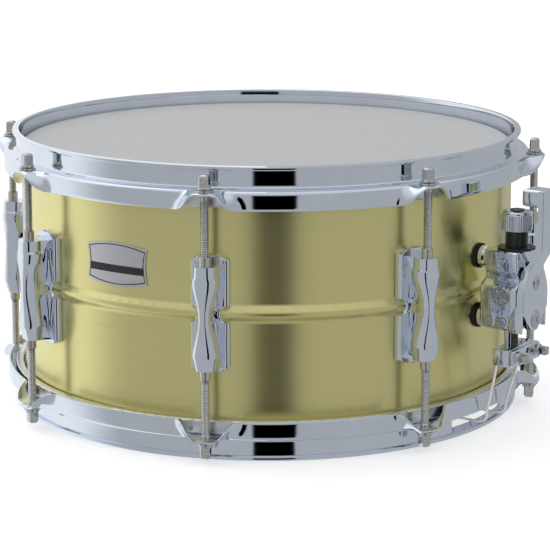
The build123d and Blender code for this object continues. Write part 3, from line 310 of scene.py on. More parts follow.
# outlines as (radius, height below the rim plane)
HOOP_RIM = [(166.2, 1.0), (166.45, 0.3), (167.1, 0.0), (169.9, 0.0), (170.55, 0.25),
            (170.8, 0.9), (170.8, 1.7), (170.55, 2.35), (169.9, 2.6), (168.9, 2.62)]
BAND_OUTSIDE = [(168.5, 2.9), (168.5, 5.6), (168.5, 11.2), (168.62, 12.4), (169.0, 13.2),
                (169.7, 13.8), (170.8, 14.0)]
BAND_INSIDE = [(170.2, 16.3), (168.0, 16.3), (166.8, 15.9), (166.2, 15.0), (166.2, 11.2),
               (166.2, 5.6)]
SHELF_LEVEL = 15.15  # middle of the shelf's wall
FOLD_START = 173.7  # radius where the shelf turns down into the apron
FOLD_BEND = 1.85
FOLD_STEPS = 7
APRON_LENGTH = 11.5  # measured from the fold's start
APRON_STEPS = 5
EDGE_ROUND = 0.75 * HOOP_HALF_WALL
EDGE_TURN = 0.6
EDGE_CUT = 0.4
EAR_EXTRA = 1.2  # an ear is this much longer than the apron
EAR_CIRCLE = 176  # radius on which the ears' widths are measured
EAR_FLAT = 5.0  # half width of an ear's flat part
EAR_FLANK = 17.5  # run of each flank
SPANS_PER_LUG = 60
GATE_HALF_WIDTH = 32
GATE_CIRCLE = 167.35
ARC_OVER_CHORD = 1.006
GATE_ANGLE = degrees(GATE_HALF_WIDTH / GATE_CIRCLE * ARC_OVER_CHORD)  # half of a snare gate


def hoop_profile(fold):
    """Cross-section with the apron folded out by fold, from 0 (apron) to 1 (ear)."""
    turn = pi / 2 * (1 - fold)
    line = []
    for k in range(FOLD_STEPS + 1):
        a = turn * k / FOLD_STEPS
        line.append((FOLD_START + FOLD_BEND * sin(a), SHELF_LEVEL + FOLD_BEND * (1 - cos(a)), a))
    length = APRON_LENGTH + EAR_EXTRA * fold - FOLD_BEND * turn
    r, d, a = line[-1]
    for k in range(1, APRON_STEPS + 1):
        s = length * k / APRON_STEPS
        line.append((r + s * cos(a), d + s * sin(a), a))
    upper = [(r + HOOP_HALF_WALL * sin(a), d - HOOP_HALF_WALL * cos(a)) for r, d, a in line]
    lower = [(r - HOOP_HALF_WALL * sin(a), d + HOOP_HALF_WALL * cos(a)) for r, d, a in line]
    r, d, a = line[-1]
    tip = [(r + EDGE_ROUND * cos(b), d + EDGE_ROUND * sin(b))
           for b in (a - EDGE_TURN, a, a + EDGE_TURN)]
    upper[-1] = (upper[-1][0] - EDGE_CUT * cos(a), upper[-1][1] - EDGE_CUT * sin(a))
    lower[-1] = (lower[-1][0] - EDGE_CUT * cos(a), lower[-1][1] - EDGE_CUT * sin(a))
    return HOOP_RIM + BAND_OUTSIDE + upper + tip + lower[::-1] + BAND_INSIDE


def apart(one, other):
    """Angle between two directions, in degrees."""
    return abs((one - other + 180) % 360 - 180)


def hoop_angles(gates):
    """Directions of the hoop's cross-sections, with one at each end of the snare gates."""
    ends = [round(a % 360, 4) for a in (-GATE_ANGLE, GATE_ANGLE, 180 - GATE_ANGLE, 180 + GATE_ANGLE)]
    even = [round(LUG_STEP * i / SPANS_PER_LUG, 4) for i in range(LUG_COUNT * SPANS_PER_LUG)]
    return sorted(set(even + (ends if gates else [])))


def hoop(name, node, upward, gates):
    """A pressed hoop whose apron turns out into an ear at each rod."""
    angles = hoop_angles(gates)
    rim_level = 2 * MIDDLE if upward else 0.0
    points = []
    for angle in angles:
        offset = radians(min(apart(angle, lug) for lug in LUG_ANGLES)) * EAR_CIRCLE
        profile = hoop_profile(1 - smooth((offset - EAR_FLAT) / EAR_FLANK))
        for radius, depth in profile:
            z = rim_level - depth if upward else depth
            points.append((radius * cos(radians(angle)), radius * sin(radians(angle)), z))
    size = len(profile)
    count = len(angles)
    # the four corners of a snare gate in the cross-section
    outer_top = len(HOOP_RIM)
    outer_low = outer_top + 2
    inner_low, inner_top = size - 2, size - 1
    faces = []

    def open_at(i):
        a = (angles[i] + angles[(i + 1) % count] + (360 if i == count - 1 else 0)) / 2
        return gates and min(apart(a, 180), apart(a, 0)) < GATE_ANGLE

    for i in range(count):
        n = (i + 1) % count
        gate = open_at(i)
        for k in range(size):
            if gate and (outer_top <= k < outer_low or k == inner_low):
                continue
            faces.append((i * size + k, i * size + (k + 1) % size,
                          n * size + (k + 1) % size, n * size + k))
        if not gate:
            continue
        for outer, inner in ((outer_top, inner_top), (outer_low, inner_low)):
            faces.append((i * size + outer, i * size + inner, n * size + inner, n * size + outer))
        for here, other in ((i, i - 1), (n, n)):
            if not open_at(other % count):
                jamb = (outer_top, outer_top + 1, outer_low, inner_low, inner_top)
                faces.append(tuple(here * size + k for k in jamb))
    obj = mesh_object(name, points, faces, "chrome_hoop", sharp=40)
    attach(obj, "shell_and_hoops")
    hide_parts(node)


hoop("batter_hoop_formed", "batter_hoop", True, False)
hoop("snare_side_hoop_formed", "snare_side_hoop", False, True)

# ---------------------------------------- lugs
# half width and front of the hourglass column, by level above the drum's middle
COLUMN_HALF = [(-32.5, 6.6), (-23.2, 8.5), (-20, 8.2), (-12, 6.3), (-5, 4.7), (0, 4.15),
               (5, 4.6), (11, 6.0), (18, 8.1), (21, 8.5), (24.3, 8.5), (25.8, 7.6), (32.5, 7.1)]
COLUMN_FRONT = [(-32.5, 19.9), (-23.3, 22.4), (-12, 21.9), (0, 21.4), (12, 21.9), (19.6, 22.4),
                (32.5, 21.6)]
COLUMN_END = 32.5
COLUMN_CURVED = (-23.2, 24.3)  # levels between which its sides are curved
COLUMN_BACK = 10.6
COLUMN_SKIRT = 1.6  # straight side in front of the back
COLUMN_CROWN = 0.62  # powers that shape its rounded front
COLUMN_FACET = 0.10
COLUMN_BOW = 0.85
FACET_LEVEL = -23.3  # below it, the front is a flatter facet
FACET_RUN = 0.3
BOW_STEPS = 12
PLATE_HALF = 12.25
PLATE_END = 37.5
PLATE_FOOT = -0.55
PLATE_TOP = 4.2
NOTCH_RADIUS = 5.4  # side notches over the shell's bead
NOTCH_SHARE = 0.98
ARCH_FROM = 33.5
ARCH_RADIUS = 20.75
ARCH_CENTRE = 16.75
EDGE_FROM, EDGE_RUN, EDGE_DROP = 36.0, 1.5, 2.2  # the plate thins towards its ends
HOLLOW = (2.9, 3.4)  # point that pulls the hollow sides inward
HOLLOW_TOP, HOLLOW_SLANT, HOLLOW_EDGE = 34.8, 12.5, 1.6
WAIST_EDGE, WAIST_SLANT, WAIST_RUN = 2.0, 1.2, 1.8
SIDE_SHARE = 0.93
SIDE_STEPS = 12


def lug_section(w):
    """Half of a lug's outline at level w: (tangential, outward) from the plate's foot."""
    level = abs(w)
    half = PLATE_HALF
    if level < NOTCH_RADIUS:
        half -= sqrt(NOTCH_RADIUS ** 2 - w * w) * NOTCH_SHARE
    elif level > ARCH_FROM:
        half = max(0.05, sqrt(max(0, ARCH_RADIUS ** 2 - (level - ARCH_CENTRE) ** 2)))
    top = PLATE_TOP - EDGE_DROP * smooth((level - EDGE_FROM) / EDGE_RUN)
    foot = [(half, PLATE_FOOT), (half, top - 2.0), (half - 0.25, top - 1.2),
            (max(0, half - 1.1), top - 0.25), (max(0, half - 1.9), top)]
    is_curved = COLUMN_CURVED[0] <= w <= COLUMN_CURVED[1]
    column = curved(COLUMN_HALF, w) if is_curved else along(COLUMN_HALF, w)
    front = along(COLUMN_FRONT, w)
    start = (max(0.0, half - 3.0), top - 0.1)
    end = (column * SIDE_SHARE, COLUMN_BACK)
    side = []
    for k in range(SIDE_STEPS + 1):
        t = k / SIDE_STEPS
        q = 1 - t
        edge = HOLLOW_TOP - HOLLOW_SLANT * t
        inside = (smooth((edge - level) / HOLLOW_EDGE)
                  * smooth((level - WAIST_EDGE - WAIST_SLANT * t) / WAIST_RUN))
        straight = (start[0] + (end[0] - start[0]) * t, start[1] + (end[1] - start[1]) * t)
        bent = tuple(q ** 3 * start[n] + 3 * q * q * t * HOLLOW[n] + 3 * q * t * t * HOLLOW[n]
                     + t ** 3 * end[n] for n in (0, 1))
        side.append(tuple(straight[n] * (1 - inside) + bent[n] * inside for n in (0, 1)))
    power = COLUMN_CROWN - COLUMN_FACET * smooth((FACET_LEVEL - w) / FACET_RUN)
    skirt = COLUMN_BACK + COLUMN_SKIRT
    bow = []
    for k in range(1, BOW_STEPS + 1):
        turn = pi / 2 * k / BOW_STEPS
        v = column * cos(turn) ** power
        u = skirt + (front - COLUMN_BACK - COLUMN_SKIRT) * sin(turn) ** COLUMN_BOW
        bow.append((v if k < BOW_STEPS else 0.0, u))
    return foot + side + [(column, skirt)] + bow, top


def plate_section(outline, top):
    """The same outline where the column has ended: the base plate alone, closed flat."""
    edge, rest = outline[:5], len(outline) - 5
    return edge + [(max(0.0, edge[4][0] * (1 - k / (rest - 1))), top) for k in range(rest)]


def lug_mesh():
    """A lug on +X, from sections at levels that are closer together at its ends."""
    end_levels = [round(PLATE_END - 0.25 * i, 3) for i in range(11)] + [33, 33.5, 34, 34.5]
    levels = sorted(set(
        end_levels + [-v for v in end_levels]
        + [round(-COLUMN_END + 0.65 * i, 3) for i in range(101)]
        + [-5.4, -5.3, -5.0, 5.0, 5.3, 5.4, -23.3, -23.2, 24.3, 25.8, 19.6]))
    rows = []
    for w in levels:
        outline, top = lug_section(w)
        plate = plate_section(outline, top)
        if abs(abs(w) - COLUMN_END) < 1e-6:
            rows += [(w, outline), (w, plate)] if w > 0 else [(w, plate), (w, outline)]
        else:
            rows.append((w, plate if abs(w) > COLUMN_END else outline))
    points = []
    for w, outline in rows:
        ring = outline + [(-v, u) for v, u in outline[-2::-1]]
        points += [(SHELL_RADIUS + u, v, MIDDLE + w) for v, u in ring]
    return points, capped_faces(len(rows), len(ring))


lug_casting = mesh_object("lug_casting_1", *lug_mesh(), "chrome_casting", sharp=28)
for number, angle in enumerate(LUG_ANGLES, start=1):
    piece = twin(lug_casting, f"lug_casting_{number}") if number > 1 else lug_casting
    piece.matrix_world = Matrix.Rotation(radians(angle), 4, "Z")
    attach(piece, "shell_and_hoops")
    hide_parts(f"lug_{number}")

# ---------------------------------------- tension rods
ROD_SEAT = 171.3  # where the batter rods' heads bear on their washers
ROD_POINTS = 20  # round the rod
ROD_TIP = [(-62.0, 1.6), (-61.2, 2.3)]
ROD_NECK = [(-6.0, 2.4), (-5.6, 2.75), (-0.05, 2.75), (0.0, 2.75), (0.0, 4.1), (0.3, 4.4),
            (1.3, 4.4), (1.7, 4.15), (1.9, 3.7)]
ROD_SQUARE = [(1.9, 3.15), (2.4, 3.2), (7.4, 3.1), (8.3, 2.85), (8.9, 2.2), (9.2, 1.2)]
SQUARE_POWER = 7  # of the superellipse that the square head follows
THREAD_FROM, THREAD_TO = -60.9, -6.2
THREAD_PITCH = 1.06
THREAD_CORE = 2.2
THREAD_HEIGHT = 0.55
THREAD_CREST = 0.8
RINGS_PER_TURN = 6


def thread_radius(a, z):
    """The thread's radius in direction a at height z."""
    phase = (z / THREAD_PITCH - a / (2 * pi)) % 1.0
    return THREAD_CORE + THREAD_HEIGHT * (1 - abs(2 * phase - 1)) ** THREAD_CREST


def square_radius(a, half):
    """A rounded square's radius in direction a."""
    return half / (abs(cos(a)) ** SQUARE_POWER + abs(sin(a)) ** SQUARE_POWER) ** (1 / SQUARE_POWER)


def rod_mesh():
    """A key rod on the Z axis, head up, from its seat at z = 0."""
    turned = [2 * pi * k / ROD_POINTS for k in range(ROD_POINTS)]
    rings = [(z, [r] * ROD_POINTS) for z, r in ROD_TIP]
    z = THREAD_FROM
    while z < THREAD_TO:
        rings.append((z, [thread_radius(a, z) for a in turned]))
        z += THREAD_PITCH / RINGS_PER_TURN
    rings += [(z, [r] * ROD_POINTS) for z, r in ROD_NECK]
    rings += [(z, [square_radius(a, half) for a in turned]) for z, half in ROD_SQUARE]
    points = [(r * cos(a), r * sin(a), z) for z, radii in rings for a, r in zip(turned, radii)]
    return points, capped_faces(len(rings), ROD_POINTS)


rod = mesh_object("batter_key_rod_1", *rod_mesh(), "rod_steel", sharp=35)
for side, seat, flip in (("batter", ROD_SEAT, Matrix.Identity(4)),
                         ("snare_side", 2 * MIDDLE - ROD_SEAT, Matrix.Rotation(pi, 4, "X"))):
    for number, angle in enumerate(LUG_ANGLES, start=1):
        node = f"{side}_rod_{number}"
        piece = rod if node == "batter_rod_1" else twin(rod, f"{side}_key_rod_{number}")
        place = Matrix.Translation((ROD_CIRCLE * MM, 0, seat * MM))
        piece.matrix_world = Matrix.Rotation(radians(angle), 4, "Z") @ place @ flip
        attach(piece, node)
        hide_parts(node)

# ---------------------------------------- solids from outlines
def merged(*solids):
    """Several (points, faces) as one."""
    points, faces = [], []
    for more_points, more_faces in solids:
        start = len(points)
        points += list(more_points)
        faces += [tuple(i + start for i in face) for face in more_faces]
    return points, faces


HARD_EDGE = radians(25)  # sharper edges of a prism are rounded


def prism(outline, place, low, high, width, segments=3):
    """An outline (a, b) drawn out from c = low to high, with rounded edges, as points and faces."""
    work = bmesh.new()
    base = [work.verts.new((a, b, low)) for a, b in outline]
    face = work.faces.new(base)
    drawn = bmesh.ops.extrude_face_region(work, geom=[face])
    lifted = [g for g in drawn["geom"] if isinstance(g, bmesh.types.BMVert)]
    for vert in lifted:
        vert.co.z = high
    bmesh.ops.recalc_face_normals(work, faces=work.faces)
    hard = [e for e in work.edges
            if len(e.link_faces) == 2 and e.calc_face_angle(0) > HARD_EDGE]
    bmesh.ops.bevel(work, geom=hard, offset=width, segments=segments, profile=0.5,
                    affect="EDGES", clamp_overlap=True)
    work.verts.ensure_lookup_table()
    work.verts.index_update()
    points = [place(*v.co) for v in work.verts]
    faces = [tuple(v.index for v in f.verts) for f in work.faces]
    work.free()
    return points, faces


def lathe(profile, place, around=48, ripple=None):
    """A profile (radius, height) turned about c, as points and faces; closed at radius 0."""
    points = []
    for radius, height in profile:
        for k in range(around):
            a = 2 * pi * k / around
            r = radius + (ripple(a, radius, height) if ripple else 0.0)
            points.append(place(r * cos(a), r * sin(a), height))
    return points, capped_faces(len(profile), around)


def rounded_ring(x0, x1, half, back, front, steps=5):
    """A rectangle x0..x1 by +-half, corner radii back (at x0) and front (at x1)."""
    ring = []
    corners = ((x1 - front, half - front, front, 0), (x0 + back, half - back, back, 90),
               (x0 + back, back - half, back, 180), (x1 - front, front - half, front, 270))
    for cx, cy, r, start in corners:
        for k in range(steps + 1):
            a = radians(start + 90 * k / steps)
            ring.append((cx + r * cos(a), cy + r * sin(a)))
    return ring


def loft(rows):
    """Rings of (x, y) at their levels z, as points and faces with end caps."""
    points = [(x, y, z) for ring, z in rows for x, y in ring]
    return points, capped_faces(len(rows), len(rows[0][0]))


def x_axis(x, y, z):
    """A turned piece's c along +X, placed at (x, y, z)."""
    return lambda a, b, c: (x + c, y + a, z + b)


def y_axis(x, y, z):
    """A turned piece's c along -Y, placed at (x, y, z)."""
    return lambda a, b, c: (x + a, y - c, z + b)


def z_axis(x, y, z):
    """A turned piece's c along +Z, placed at (x, y, z)."""
    return lambda a, b, c: (x + a, y + b, z + c)


# ---------------------------------------- strainer
BODY = [  # z, back x, front x, half width, back corner, front corner
    (121.0, 177.0, 199.4, 13.2, 3.2, 1.2), (120.3, 176.1, 200.1, 14.0, 3.6, 1.4),
    (109.0, 176.1, 200.1, 14.0, 3.6, 1.4), (107.6, 175.9, 200.1, 13.5, 3.4, 1.4),
    (105.6, 175.4, 200.1, 11.0, 3.0, 1.4), (103.4, 174.8, 200.1, 9.8, 2.6, 1.4),
    (101.4, 174.2, 200.1, 10.0, 2.8, 1.4), (99.6, 173.4, 200.1, 11.6, 3.2, 1.4),
    (98.2, 172.7, 200.1, 13.4, 3.8, 1.4), (97.0, 172.5, 200.1, 14.0, 4.2, 1.4),
    (84.0, 172.5, 200.1, 14.0, 4.4, 1.4), (73.0, 172.8, 200.1, 14.0, 4.2, 1.4),
    (71.0, 173.6, 199.9, 13.3, 3.8, 1.6), (69.8, 175.2, 199.0, 11.8, 3.2, 1.6),
]
FOOT = [(6.4, 0.0), (7.0, 0.5), (7.0, 3.0), (6.2, 4.2), (6.0, 8.0), (6.6, 10.5)]
FOOT_BACK = 167.2
FOOT_LEVELS = (113.4, 74.4)
SCREW_BOSS = [(5.0, 0.0), (5.0, 1.4), (4.7, 1.75), (4.0, 1.9), (3.7, 1.3)]
SCREW_BOSS_FACE = -12.3
FACE_SCREW_PLACES = [(180.5, 75.8), (189.7, 75.8)]
strainer = [loft([(rounded_ring(x0, x1, half, back, front), z)
                  for z, x0, x1, half, back, front in BODY])]
strainer += [lathe(FOOT, x_axis(FOOT_BACK, 0, z)) for z in FOOT_LEVELS]
strainer += [lathe(SCREW_BOSS, y_axis(x, SCREW_BOSS_FACE, z), 40) for x, z in FACE_SCREW_PLACES]
strainer_body = mesh_object("strainer_casting", *merged(*strainer), "chrome_casting", sharp=24)
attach(strainer_body, "shell_and_hoops")
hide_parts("strainer_body")


MEDALLION_X, MEDALLION_Z = 188.7, 92
MEDALLION_SEAT, MEDALLION_BACK = -13.9, -13.6
MEDALLION_RINGS = [0.0, 0.7, 1.1, 1.6, 2.2, 2.8, 3.4, 4.0, 4.5, 4.8, 5.1, 5.3, 5.6, 6.0, 6.25, 6.3]
MEDALLION_POINTS = 96
PETAL_COUNT = 8


def medallion_height(a, radius):
    """Height of the disc's relief: a rim, a groove, petals, a groove and a button."""
    if radius > 5.2:
        return 1.2 - 0.5 * max(0, (radius - 6.0) / 0.3) ** 2
    if radius > 4.75:
        return 0.55
    if radius < 0.9:
        return 1.0
    return 0.5 + 0.6 * smooth((cos(PETAL_COUNT * a) + 0.35) / 0.5)


def medallion():
    """A disc with a raised rim and a plain ring of petals."""
    turned = [2 * pi * k / MEDALLION_POINTS for k in range(MEDALLION_POINTS)]
    points = [(MEDALLION_X + radius * cos(a), MEDALLION_SEAT - medallion_height(a, radius),
               MEDALLION_Z + radius * sin(a)) for radius in MEDALLION_RINGS for a in turned]
    edge = MEDALLION_RINGS[-1]
    points += [(MEDALLION_X + edge * cos(a), MEDALLION_BACK, MEDALLION_Z + edge * sin(a))
               for a in turned]
    faces = ring_faces(len(MEDALLION_RINGS) + 1, MEDALLION_POINTS)
    last = len(MEDALLION_RINGS) * MEDALLION_POINTS
    return points, faces + [tuple(range(last, last + MEDALLION_POINTS))]


disc = mesh_object("strainer_petal_disc", *medallion(), "medallion_steel", sharp=35)
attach(disc, "shell_and_hoops")
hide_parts("strainer_medallion")


SOCKET_POINTS = 48
SOCKET_LEVELS = (0.05, 1.6)  # top and bottom of the recess, below the head's face
FACE_SCREW_RADIUS, FACE_SCREW_DEPTH, FACE_SCREW_HEX = 3.3, 4.0, 1.7
FACE_SCREW_TOP = -14.4


def socket_screw(place, radius, depth, hexagon):
    """A socket-head screw: a domed ring round a hexagonal recess."""
    profile = [(radius, depth), (radius, 0.5), (radius * 0.93, 0.12), (radius * 0.8, 0.0),
               (hexagon * 1.12, 0.0)]
    turned = [2 * pi * k / SOCKET_POINTS for k in range(SOCKET_POINTS)]
    points = [place(r * cos(a), r * sin(a), -h) for r, h in profile for a in turned]
    for h in SOCKET_LEVELS:
        for a in turned:
            r = hexagon * cos(pi / 6) / cos((a % (pi / 3)) - pi / 6)
            points.append(place(r * cos(a), r * sin(a), -h))
    return points, capped_faces(len(profile) + len(SOCKET_LEVELS), SOCKET_POINTS)


sockets = mesh_object("strainer_socket_screws", *merged(*(
    socket_screw(y_axis(x, FACE_SCREW_TOP, z), FACE_SCREW_RADIUS, FACE_SCREW_DEPTH, FACE_SCREW_HEX)
    for x, z in FACE_SCREW_PLACES)), "rod_steel", sharp=30)
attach(sockets, "shell_and_hoops")
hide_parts("strainer_face_screws")

# the throw-off lever: a bent strip with turned-back edges, its half width and its face by level
LEVER_HALF = [(69.3, 2.6), (70.0, 3.6), (83.0, 16.2), (85.0, 16.4), (95.0, 16.4), (103.0, 13.6),
              (111.0, 9.4), (119.0, 8.0), (161.0, 8.0)]
LEVER_FACE = [(69.3, 206.5), (106.0, 206.5), (110.0, 206.9), (122.0, 214.0), (126.0, 214.5),
              (161.0, 214.5)]
LEVER_FOOT, LEVER_TOP = LEVER_HALF[0][0], LEVER_HALF[-1][0]
LEVER_FRONT = LEVER_FACE[-1][1]
LEVER_STRAIGHT = 84  # below this level its sides are straight
LEVER_WALL = 2.4
LEVER_END_ROUND = 0.9
EDGE_RADIUS = 1.1
EDGE_ANGLES = (0.0, 0.4, 0.8, 1.2, pi / 2)
FLANGE_LEVEL = 112  # the turned-back edge is deeper below it
FLANGE_DEEP, FLANGE_SHALLOW = 2.4, 1.6
FLANGE_WALL, FLANGE_ROOT = 1.3, 1.9
CREASE_SHARE = 0.45
ARM_HALF = LEVER_HALF[-1][1]
TAB_BOTTOM = 150.0
TAB_BACK, TAB_FRONT = 198.6, 213.9
TAB_ROUND = 2.2
CHEEK = [(195.6, 71.6), (197.0, 69.9), (205.4, 69.9), (205.4, 93.0), (203.8, 93.0),
         (196.2, 80.0), (195.3, 76.5)]
CHEEK_INNER, CHEEK_OUTER = 14.65, 16.3
CHEEK_ROUND = 0.35


def lever_section(z):
    """The strip's outline (x, y) at level z, from its middle out to the turned-back edges."""
    half = curved(LEVER_HALF, z) if z > LEVER_STRAIGHT else along(LEVER_HALF, z)
    face = min(LEVER_FRONT, curved(LEVER_FACE, z))
    gap = min(abs(z - LEVER_FOOT), abs(z - LEVER_TOP), LEVER_END_ROUND)
    inset = LEVER_END_ROUND - sqrt(LEVER_END_ROUND ** 2 - (LEVER_END_ROUND - gap) ** 2)
    flange = FLANGE_DEEP if z < FLANGE_LEVEL else FLANGE_SHALLOW
    edge = half - inset
    back = face - LEVER_WALL + inset
    section = []
    for side in (1, -1):
        arc = [(face - inset - EDGE_RADIUS + EDGE_RADIUS * cos(a),
                side * (edge - EDGE_RADIUS + EDGE_RADIUS * sin(a))) for a in EDGE_ANGLES]
        part = [(face - inset, side * (edge * CREASE_SHARE)), *arc,
                (back - flange, side * edge), (back - flange, side * (edge - FLANGE_WALL)),
                (back, side * (edge - FLANGE_ROOT))]
        section += part if side == 1 else part[::-1]
    return section


levels = [LEVER_FOOT, 69.5, 69.9] + [70.6 + 0.9 * i for i in range(100)] + [160.2, 160.7, LEVER_TOP]
levels = sorted(set(round(z, 3) for z in levels))
lever_parts = [loft([(lever_section(z), z) for z in levels])]
lever_parts.append(prism([(TAB_BOTTOM, -ARM_HALF), (LEVER_TOP, -ARM_HALF), (LEVER_TOP, ARM_HALF),
                          (TAB_BOTTOM, ARM_HALF)],
                         lambda a, b, c: (c, b, a), TAB_BACK, TAB_FRONT, TAB_ROUND, 4))
for side in (-1, 1):
    inner, outer = sorted((side * CHEEK_INNER, side * CHEEK_OUTER))
    lever_parts.append(prism(CHEEK, lambda a, b, c: (a, c, b), inner, outer, CHEEK_ROUND, 2))
lever = mesh_object("throw_off_lever", *merged(*lever_parts), "chrome_casting", sharp=32)
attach(lever, "lever")
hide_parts("strainer_lever")

# knurled knob, as (radius, level)
KNOB = [(7.7, 133.0), (9.2, 133.0), (9.7, 133.25), (10.0, 133.7), (10.0, 143.0), (9.75, 143.5),
        (9.5, 143.7), (9.6, 144.2), (9.45, 144.9), (9.0, 145.35), (8.2, 145.5), (7.2, 145.3),
        (6.2, 144.7), (5.2, 144.4), (4.8, 144.4), (4.8, 144.0)]
KNOB_X = 191.9
KNOB_POINTS = 264
KNURL_FROM, KNURL_TO = 133.5, 143.2
KNURL_RADIUS = 9.9  # the grooves cut only what lies beyond it
KNURL_COUNT = 44
KNURL_DEPTH = 0.45
KNURL_POWER = 1.5


def knurl(a, radius, height):
    """Depth of the knob's upright grooves in direction a."""
    if KNURL_FROM <= height <= KNURL_TO and radius > KNURL_RADIUS:
        return -KNURL_DEPTH * abs(sin(KNURL_COUNT / 2 * a)) ** KNURL_POWER
    return 0.0


knob = mesh_object("knurled_knob", *lathe(KNOB, z_axis(KNOB_X, 0, 0), KNOB_POINTS, knurl), "knob_chrome",
                   sharp=50)
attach(knob, "knob")
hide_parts("tension_knob")

# cord clamp, drawn seen from above
CLAMP_BOTTOM, CLAMP_TOP = 47.6, 58.6
CLAMP_HALF = 18
CLAMP_BACK, CLAMP_FRONT = 185.9, 197.9
CLAMP_ROUND = 0.8
BAR_FRONT = 189.1
BAR_HALF = 3.3
BAR_FROM, BAR_TO = 50.0, 96.5
BAR_ROUND = 0.5
PLATE_BACK, PLATE_FRONT = 198.0, 200.9
PLATE_CORNER = 1
PLATE_ROUND = 0.7
BOLT_Y, BOLT_Z = 13.0, 53.6
BOLT_COLLAR = [(4.1, 0.0), (4.1, 1.9), (3.85, 2.5), (3.2, 2.95), (2.2, 3.1)]
BOLT_HALF = 2.6
BOLT_FROM, BOLT_TO = 2.8, 8.0
BOLT_ROUND = 0.6
LEVER_SCREWS = [(100.5, 3.9), (76.7, 5.3)]  # level and radius
LEVER_SCREW_DEPTH = 2.2
LEVER_SCREW_HEX = 2.0
LEVER_SCREW_SEAT = [(1.1, -2.2), (1.1, -0.9), (0.7, -0.55), (0.15, -0.7)]  # beyond its radius


def rectangle(a0, a1, b0, b1):
    return [(a0, b0), (a1, b0), (a1, b1), (a0, b1)]


clamp_casting = mesh_object("clamp_casting", *merged(
    prism(rectangle(CLAMP_BACK, CLAMP_FRONT, -CLAMP_HALF, CLAMP_HALF), z_axis(0, 0, 0),
          CLAMP_BOTTOM, CLAMP_TOP, CLAMP_ROUND),
    prism(rectangle(CLAMP_BACK, BAR_FRONT, -BAR_HALF, BAR_HALF), z_axis(0, 0, 0),
          BAR_FROM, BAR_TO, BAR_ROUND)), "chrome_casting", sharp=30)
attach(clamp_casting, "clamp")
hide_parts("clamp_block")

inner_half = CLAMP_HALF - PLATE_CORNER
plate_low, plate_high = CLAMP_BOTTOM + PLATE_CORNER, CLAMP_TOP - PLATE_CORNER
clamp_plate = mesh_object("clamp_front_plate", *prism(
    [(-CLAMP_HALF, plate_low), (-inner_half, CLAMP_BOTTOM), (inner_half, CLAMP_BOTTOM),
     (CLAMP_HALF, plate_low), (CLAMP_HALF, plate_high), (inner_half, CLAMP_TOP),
     (-inner_half, CLAMP_TOP), (-CLAMP_HALF, plate_high)],
    lambda a, b, c: (c, a, b), PLATE_BACK, PLATE_FRONT, PLATE_ROUND), "chrome_casting", sharp=30)
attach(clamp_plate, "clamp")
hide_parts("clamp_plate")

clamp_bolts = []
for bolt_y in (-BOLT_Y, BOLT_Y):
    at = x_axis(PLATE_FRONT, bolt_y, BOLT_Z)
    clamp_bolts.append(lathe(BOLT_COLLAR, at, 40))
    clamp_bolts.append(prism(rectangle(-BOLT_HALF, BOLT_HALF, -BOLT_HALF, BOLT_HALF), at,
                             BOLT_FROM, BOLT_TO, BOLT_ROUND))
bolts = mesh_object("clamp_square_bolts", *merged(*clamp_bolts), "rod_steel", sharp=35)
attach(bolts, "clamp")
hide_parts("clamp_screws")

screw_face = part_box("lever_screws")[1].x / MM
lever_bolts = [socket_screw(x_axis(screw_face, 0, z), radius, LEVER_SCREW_DEPTH, LEVER_SCREW_HEX)
               for z, radius in LEVER_SCREWS]
lever_bolts += [lathe([(radius + beyond, h) for beyond, h in LEVER_SCREW_SEAT],
                      x_axis(screw_face, 0, z)) for z, radius in LEVER_SCREWS]
lever_fittings = mesh_object("lever_socket_screws", *merged(*lever_bolts), "rod_steel", sharp=30)
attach(lever_fittings, "lever")
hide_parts("lever_screws")

# ---------------------------------------- badge print
BADGE_RADIUS, BADGE_Z = 165.88, MIDDLE + 25.0
BADGE_HALF_WIDTH, BADGE_HALF_HEIGHT = 23.5, 14.0
BADGE_CORNER = 11.0  # height of its corners above its middle
BADGE_WAIST = 1.4  # pull of its sides
BORDER_OUTER, BORDER_INNER = 1.3, 1.85  # inside the badge's edge
BORDER_STEPS = 14  # on each side of the badge
INK_THICKNESS = 0.09
BAND_LOW, BAND_HIGH = -5.3, -0.5
BAND_REACH = 22.3
BAND_STEPS = 24


def badge_point(s, z, lift=0.0):
    """A point on the badge, s along it, z above its middle and lift in front of it."""
    a = -pi / 2 + s / BADGE_RADIUS
    r = BADGE_RADIUS + lift
    return r * cos(a), r * sin(a), BADGE_Z + z


def badge_outline(inset):
    """The badge's arched, waisted outline, drawn in by inset."""
    half_w, half_h, corner = (v - inset for v in (BADGE_HALF_WIDTH, BADGE_HALF_HEIGHT, BADGE_CORNER))
    loop = []
    for k in range(BORDER_STEPS):
        t = -1 + 2 * k / BORDER_STEPS
        loop.append((half_w * t, corner + (half_h - corner) * (1 - t * t)))
    for k in range(BORDER_STEPS):
        t = 1 - 2 * k / BORDER_STEPS
        loop.append((half_w - BADGE_WAIST * (1 - t * t), corner * t))
    return loop + [(-s, -z) for s, z in loop]


def badge_border():
    """A thin line inside the badge's edge."""
    outer, inner = badge_outline(BORDER_OUTER), badge_outline(BORDER_INNER)
    size = len(outer)
    points = [badge_point(s, z, lift) for lift in (0.0, INK_THICKNESS)
              for loop in (outer, inner) for s, z in loop]
    faces = []
    for k in range(size):
        n = (k + 1) % size
        for a, b in ((2, 3), (0, 1), (0, 2), (1, 3)):
            faces.append((a * size + k, a * size + n, b * size + n, b * size + k))
    return points, faces


